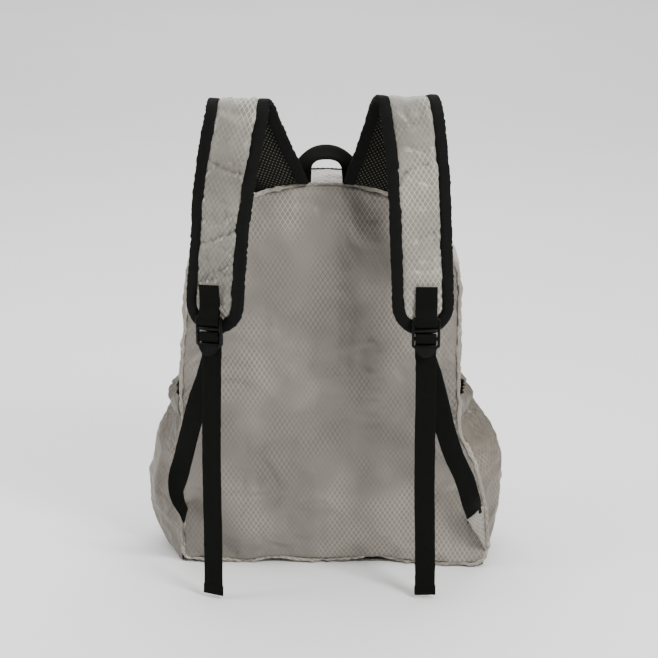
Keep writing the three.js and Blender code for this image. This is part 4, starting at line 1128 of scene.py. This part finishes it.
def binding(strap, name, seed):
    """Tape folded round the strap's rim, with a slightly uneven inner edge."""
    distance, fan = strap.rows(1.6, 22)
    left = [(d, f, -1) for d, f in zip(distance, fan)]
    right = [(d, f, 1) for d, f, _ in left[-2::-1]]
    d, f, side = (np.array(column)[:, None] for column in zip(*left, *right))
    inner, outer = PAD_HALF - BINDING_WIDTH + 1.6, PAD_HALF + 1.5
    half = BINDING_FACE
    turn = np.linspace(PI / 2, -PI / 2, 7)
    face = [(inner, half - 1.15), (inner + 0.5, half - 0.15), (inner + 4, half)]
    nose = [(outer - 2.2 + 2.2 * math.cos(a), (half - 0.3) * math.sin(a)) for a in turn]
    under = [(reach, -rise) for reach, rise in reversed(face)]
    lining = [(outer - 3.4, -half + 1.3), (outer - 3.4, half - 1.3)]
    section = np.array([*face, *nose, *under, *lining])
    reach, rise = (np.broadcast_to(column, (len(d), len(section))) for column in section.T)
    sheet = np.stack(np.broadcast_arrays(d + PAD_HALF * f, side * 30 + seed, reach), -1)
    uneven = 0.25 * noise(sheet, 14, seed + 1) + 0.4 * noise(sheet, 2.6, seed + 7)
    reach = reach + smooth(inner + 5, inner, reach) * 0.45 * noise(sheet, 9, seed) + uneven
    rise = rise + np.sign(rise) * (0.22 * noise(sheet, 8, seed + 2) + 0.18 * noise(sheet, 3.5, seed + 3))
    ring = strap.point(d, f, side * reach, rise)
    uv = np.stack(np.broadcast_arrays(along_line(section)[None], along_line(ring[:, 5])[:, None]), -1) * MM
    return tube("binding_" + name, ring, uv, BINDING)


# Webbing


def smooth_path(points, step):
    """Points with rounded bends, spaced evenly."""
    line = Line(points)
    count = max(int(line.length / step), 8)
    return line.at(np.linspace(0, line.length, count))


def ribbon(name, spots, sides, width, wall, material, seed, wave=0.12):
    """A woven band: spots down its middle, side vectors across it, and rounded selvedges."""
    spots, sides = np.asarray(spots, float), np.asarray(sides, float)
    along = unit(np.gradient(spots, axis=0))
    sides = unit(sides - along * np.sum(sides * along, -1, keepdims=True))
    normal = np.cross(along, sides)
    length = along_line(spots)
    wall = np.broadcast_to(wall, len(spots))[:, None]
    half = np.broadcast_to(width, len(spots))[:, None] / 2
    upper = np.array([-1, -0.985, -0.93, -0.5, 0, 0.5, 0.93, 0.985, 1])
    face = np.array([0.0, 0.6, 1, 0.94, 0.94, 0.94, 1, 0.6, 0.0])
    across = np.r_[upper, upper[::-1][1:-1]]
    rise = np.r_[face, -face[::-1][1:-1]]
    place = np.stack(np.broadcast_arrays(length[:, None], across[None] * 10, 0 * across[None] + seed), -1)
    reach = half * across + 0.12 * noise(place, 6, seed + 1) * np.abs(across)
    lift = wall / 2 * rise + wave * noise(place, 17, seed)
    ring = spots[:, None] + sides[:, None] * reach[..., None] + normal[:, None] * lift[..., None]
    uv = np.stack(np.broadcast_arrays(across[None] * np.mean(half), length[:, None]), -1) * MM
    return tube(name, ring, uv, material)


LAYER_ONE = 0.3 + WEB_WALL / 2
LAYER_TWO = LAYER_ONE + WEB_WALL + 0.3
LOCK_BACK = LAYER_ONE + WEB_WALL / 2 + 0.3
OVER_LOCK = LOCK_BACK + LOCK_WALL + 0.3 + WEB_WALL / 2
KEEPER_SLOT_AT = 9.75
UPPER_SLOT_AT = 17.0
LOWER_SLOT_AT = 25.5
LOCK_LENGTH = 30.5


class Lock:
    """The frame of a ladder lock: down the strap from its top edge, and out from the strap's face."""

    def __init__(self, strap):
        at, heading, across, out = (a[0] for a in strap.frame(np.array([strap.length - LOCK_ABOVE_END])))
        self.origin = at + out * BINDING_FACE + across * strap.side * LOCK_SHIFT
        self.heading, self.across, self.out = heading, across, out

    def spot(self, down, rise, across=0.0):
        return self.origin + self.heading * down + self.out * rise + self.across * across


def rounded_box(low, high, bevel):
    """Points and faces of a box with bevelled edges, from its low to its high corner."""
    low, high = np.array(low, float), np.array(high, float)
    centre, half = (low + high) / 2, (high - low) / 2
    ticks = (-1, -0.9, 0, 0.9, 1)
    points, faces = [], []
    for axis in range(3):
        for sign in (-1, 1):
            base = len(points)
            for first in ticks:
                for second in ticks:
                    cube = half * np.roll([sign, first, second], axis)
                    core = np.clip(cube, bevel - half, half - bevel)
                    away = cube - core
                    far = np.linalg.norm(away)
                    points.append(centre + core + (away / far * bevel if far > 1e-9 else away))
            for quad in grid_faces(len(ticks), len(ticks)):
                faces.append(tuple(base + i for i in (reversed(quad) if sign > 0 else quad)))
    return np.array(points), faces


def lock_piece(strap, name):
    """A ladder lock: two rails, four bars and a thumb tab."""
    lock = Lock(strap)
    half = LOCK_WIDTH / 2
    low, top = LOCK_BACK, LOCK_BACK + LOCK_WALL
    boxes = [
        ((-half, 1.5, low), (-half + 2.9, 29.6, top + 0.3), 0.9),
        ((half - 2.9, 1.5, low), (half, 29.6, top + 0.3), 0.9),
        ((-half + 1.2, 0, low + 0.2), (half - 1.2, 8, top), 1.1),
        ((-half + 2, 11.6, low + 0.2), (half - 2, 14.9, top), 1.2),
        ((-half + 2, 19.1, low + 0.4), (half - 2, 23.4, top - 0.1), 1.4),
        ((-half + 1, 27.5, low), (half - 1, 30.8, top + 0.1), 1.2),
    ]
    points, faces = [], []
    for lowest, highest, bevel in boxes:
        p, f = rounded_box(lowest, highest, bevel)
        faces += [tuple(i + len(points) for i in face) for face in f]
        points += list(p)
    base = len(points)
    rows, columns = 9, 17
    for layer in (0, 1):
        for t in np.linspace(0, 1, rows):
            for s in np.linspace(-1, 1, columns):
                reach = 1.5 + 9.2 * t * math.sqrt(1 - 0.82 * s * s)
                lift = 0.35 * reach - 0.1 - 2.0 * layer * (1 - 0.3 * t)
                points.append((s * (11.6 - 2.4 * t), 28.4 + reach, top + lift))
    faces += [tuple(base + i for i in face) for face in layer_faces(rows, columns)]
    placed = np.array([lock.spot(down, rise, across) for across, down, rise in points])
    flat = np.array([(across, down) for across, down, _ in points]) * MM
    obj = mesh_object("lock_" + name, placed, faces, flat, PLASTIC)
    weld = obj.modifiers.new("weld", "WELD")
    weld.merge_threshold = 1e-5
    return obj


def keeper(strap, name, seed):
    """The loop of webbing that is sewn to the strap and holds the lock."""
    lock = Lock(strap)
    trail = [
        (-30, LAYER_TWO + 0.6),
        (-29, LAYER_TWO + 0.9),
        (-24, LAYER_TWO + 0.3),
        (-14, LAYER_TWO),
        (-7, LAYER_TWO + 0.4),
        (-3, mix(LAYER_TWO, OVER_LOCK, 0.6)),
        (1.5, OVER_LOCK + 0.1),
        (7.5, OVER_LOCK),
        (KEEPER_SLOT_AT + 0.2, OVER_LOCK - 1.6),
        (KEEPER_SLOT_AT + 0.2, LAYER_ONE + 1.8),
        (7.5, LAYER_ONE + 0.1),
        (0, LAYER_ONE),
        (-18, LAYER_ONE),
    ]
    spots = smooth_path([lock.spot(d, n) for d, n in trail], 0.9)
    sides = np.broadcast_to(lock.across, spots.shape)
    return ribbon("keeper_" + name, spots, sides, KEEPER_WIDTH, WEB_WALL, WEBBING, seed)


def adjuster(strap, name, seed):
    """The webbing from the side seam through the lock and down to its free end."""
    side = strap.side
    lock = Lock(strap)
    behind = lock.spot(LOCK_LENGTH + 10, -WEB_WALL)
    seam_x = float(side_at(np.array(LEG_LIFT), side, 0))
    depth = float(depth_at(seam_x, LEG_LIFT, 0))
    end = np.array([seam_x - side * LEG_INSET[side], depth - LEG_STAND[side], LEG_LIFT])
    column = 2 if side < 0 else 3
    leg = [mix(behind, end, np.array([row[column], row[1], row[0]])) for row in LEG_ROUTE][::-1]
    leg_line = Line([*leg, behind])
    leg_spots = leg_line.at(np.linspace(0, leg_line.length, 90))
    through = smooth_path(
        [
            leg_spots[-2],
            leg_spots[-1],
            *[
                lock.spot(d, n)
                for d, n in (
                    (26.5, -WEB_WALL * 0.7),
                    (23.5, -WEB_WALL * 0.4),
                    (21.5, LAYER_ONE),
                    (UPPER_SLOT_AT + 0.8, LAYER_ONE + 0.6),
                    (UPPER_SLOT_AT, LAYER_ONE + 2),
                    (UPPER_SLOT_AT, OVER_LOCK - 1.6),
                    (UPPER_SLOT_AT + 1.2, OVER_LOCK),
                    (23.2, OVER_LOCK),
                    (LOWER_SLOT_AT, OVER_LOCK - 1.6),
                    (LOWER_SLOT_AT, LAYER_ONE + 2.2),
                    (LOWER_SLOT_AT + 0.9, LAYER_ONE + 0.5),
                    (LOCK_LENGTH, LAYER_ONE),
                    (LOCK_LENGTH + 10, LAYER_ONE),
                )
            ],
        ],
        0.8,
    )[2:]
    start = through[-1]
    drop = np.linspace(0, 1, 110)[1:]
    foot = TAIL_CLEAR + 0.8
    bow = np.sin(PI * drop)
    tail = np.stack(
        [
            start[0] + side * TAIL_DRIFT * drop + 0.5 * np.sin(drop * 7 + seed),
            start[1] + 0.6 * drop - 1.6 * bow + 0.35 * np.sin(drop * 23 + seed),
            mix(start[2], foot, drop),
        ],
        -1,
    )
    spots = np.vstack([leg_spots, through, tail])
    along = unit(np.gradient(spots, axis=0))
    share = 1 - np.clip(np.arange(len(spots)) / (len(leg_spots) - 1), 0, 1)
    twist = -side * LEG_TWIST[side] * smooth(LEG_TURN[side], 0.97, share)
    flat = unit(lock.across - along * (along @ lock.across)[:, None])
    turned = flat * np.cos(twist)[:, None] + np.cross(along, flat) * np.sin(twist)[:, None]
    wall = np.full(len(spots), WEB_WALL)
    hem = spots[:, 2] < foot + 11.5
    hem[: len(leg_spots) + len(through)] = False
    wall[hem] = WEB_WALL * 1.9
    width = np.full(len(spots), WEB_WIDTH)
    width[hem] = WEB_WIDTH + 1.1
    band = ribbon("webbing_" + name, spots, turned, width, wall, WEBBING, seed, wave=0.1)
    return band, spots[0], along[0], turned[0]


def anchor(strap, name, end, along, flat, seed):
    """The folded cloth tab that ties the webbing to the side seam."""
    side = strap.side
    ends = [end + along * 7 + flat * k * (WEB_WIDTH / 2 + 0.8) for k in (-1, 1)]
    ends.sort(key=lambda p: p[2])
    seam_line = []
    for z in (18, 69):
        x = float(side_at(np.array(z), side, 0))
        seam_line.append(np.array([x + side * 1.2, float(depth_at(x, z, 0)) - 2.4, z]))
    u, v = np.meshgrid(np.linspace(0, 1, 31), np.linspace(0, 1, 25))
    lower = mix(seam_line[0], seam_line[1], u[..., None])
    upper = mix(ends[0], ends[1], u[..., None])
    grid = mix(lower, upper, v[..., None])
    normal = grid_normals(grid)
    facing = normal if np.mean(normal[..., 1]) < 0 else -normal
    cover = 1.5 * smooth(0, 0.55, v)
    grid = grid + facing * (cover + 0.9 * noise(grid, 9, seed) * smooth(0, 0.2, v))[..., None]
    uv = np.stack([u * 40, v * 22], -1) * MM
    return shell("tab_" + name, grid, uv, TAN, grid.mean((0, 1)) - facing.mean((0, 1)) * 50, wall=1.1)


for side, name, seed in ((-1, "left", 71), (1, "right", 83)):
    strap = Strap(side)
    keep(strap_pad(strap, name, seed), "strap_pad_" + name, slot="strap_cloth", fill=0.35)
    keep(strap_mesh(strap, name, seed), "strap_mesh_" + name, slot="spacer_mesh")
    keep(binding(strap, name, seed), "strap_binding_" + name, slot="webbing")
    keep(lock_piece(strap, name), "ladder_lock_" + name, slot="buckle_plastic")
    keep(keeper(strap, name, seed), "buckle_keeper_" + name, slot="webbing")
    band, end, along, flat = adjuster(strap, name, seed)
    keep(band, "adjuster_webbing_" + name, slot="webbing")
    keep(anchor(strap, name, end, along, flat, seed), "webbing_anchor_" + name, slot="shell_cloth")


# Carry handle and slider


def handle():
    """The carry loop, whose top leans to the back."""
    back = BINDING_FACE + 1.7
    depth = float(depth_at(STRAP_MIDDLE, BAG_HEIGHT, 0)) + back
    share = np.linspace(0, 1, 120)
    angle = PI * (1 - share)

    def bow(value):
        return np.sign(value) * np.abs(value) ** (2 / HANDLE_POWER)

    x = STRAP_MIDDLE + HANDLE_HALF * bow(np.cos(angle))
    ground = crown_height(x) + TOP_BULGE * math.sin(PI * back / TOP_DEPTH) ** 0.9 + 0.2
    z = ground + HANDLE_RISE * bow(np.sin(angle))
    spots = np.stack([x, 0 * x + depth, z], -1)
    tip = np.array([0, -math.cos(HANDLE_TIP), -math.sin(HANDLE_TIP)])
    level = np.sin(PI * share)[:, None]
    sides = np.array([1.0, 0, 0]) * np.where(share < 0.5, 1, -1)[:, None] * (1 - level) + tip * level
    return ribbon("handle", spots, sides, WEB_WIDTH, 2.0, WEBBING, 5, wave=0.2)


keep(handle(), "carry_handle", slot="webbing")

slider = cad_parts["zip_slider"]
slider.data.materials.clear()
slider.data.materials.append(PLASTIC)


# Floor, light and camera


def floor_material():
    """A plain pale floor."""
    material = bpy.data.materials.new("floor")
    n = Nodes(material)
    solid = n.add("ShaderNodeTexCoord").outputs["Object"]
    cloud = n.noise(solid, 3, 3)
    colour = n.colour(cloud, (0.9, 0.9, 0.9, 1), (0.93, 0.93, 0.93, 1))
    rough_at = n.spread(cloud, 0.3, 0.7, 0.75, 0.85)
    n.finish(colour, rough_at, n.bump(n.noise(solid, 700, 2), 0.0001, 0.2), Specular_IOR_Level=0.2)
    return material


bpy.ops.mesh.primitive_plane_add(size=24, location=(0, 4, 0))
floor = bpy.context.active_object
floor.name = "floor"
floor.data.materials.append(floor_material())

world = bpy.data.worlds.new("studio")
bpy.context.scene.world = world
world.use_nodes = True
background = world.node_tree.nodes["Background"]
background.inputs[0].default_value = (1, 1, 1, 1)
background.inputs[1].default_value = 0.3


def softbox(name, place, aim, size, power):
    """A rectangular studio lamp that looks at a point."""
    data = bpy.data.lights.new(name, "AREA")
    data.shape = "RECTANGLE"
    data.size, data.size_y = size
    data.energy = power
    light = bpy.data.objects.new(name, data)
    bpy.context.scene.collection.objects.link(light)
    light.location = place
    light.rotation_euler = (Vector(aim) - Vector(place)).to_track_quat("-Z", "Y").to_euler()


softbox("key", (0.95, -1.2, 1.4), (0, 0, 0.27), (0.5, 0.5), 34)
softbox("side", (-1.5, -0.3, 0.9), (0, 0, 0.2), (0.6, 0.6), 14)
softbox("over", (0, 0.6, 2.2), (0, 0.2, 0), (2.6, 2.6), 70)
softbox("back", (0, 5.0, 3.2), (0, 5.0, 0), (5.0, 5.0), 190)

camera_data = bpy.data.cameras.new("camera")
camera = bpy.data.objects.new("camera", camera_data)
bpy.context.scene.collection.objects.link(camera)
camera.location = (0.00638, -1.8964, 0.7828)
aim = Vector((0.00638, -0.07, 0.259))
camera.rotation_euler = (aim - camera.location).to_track_quat("-Z", "Y").to_euler()
camera_data.sensor_width = 36
camera_data.lens = 100.93
camera_data.clip_end = 50
bpy.context.scene.camera = camera
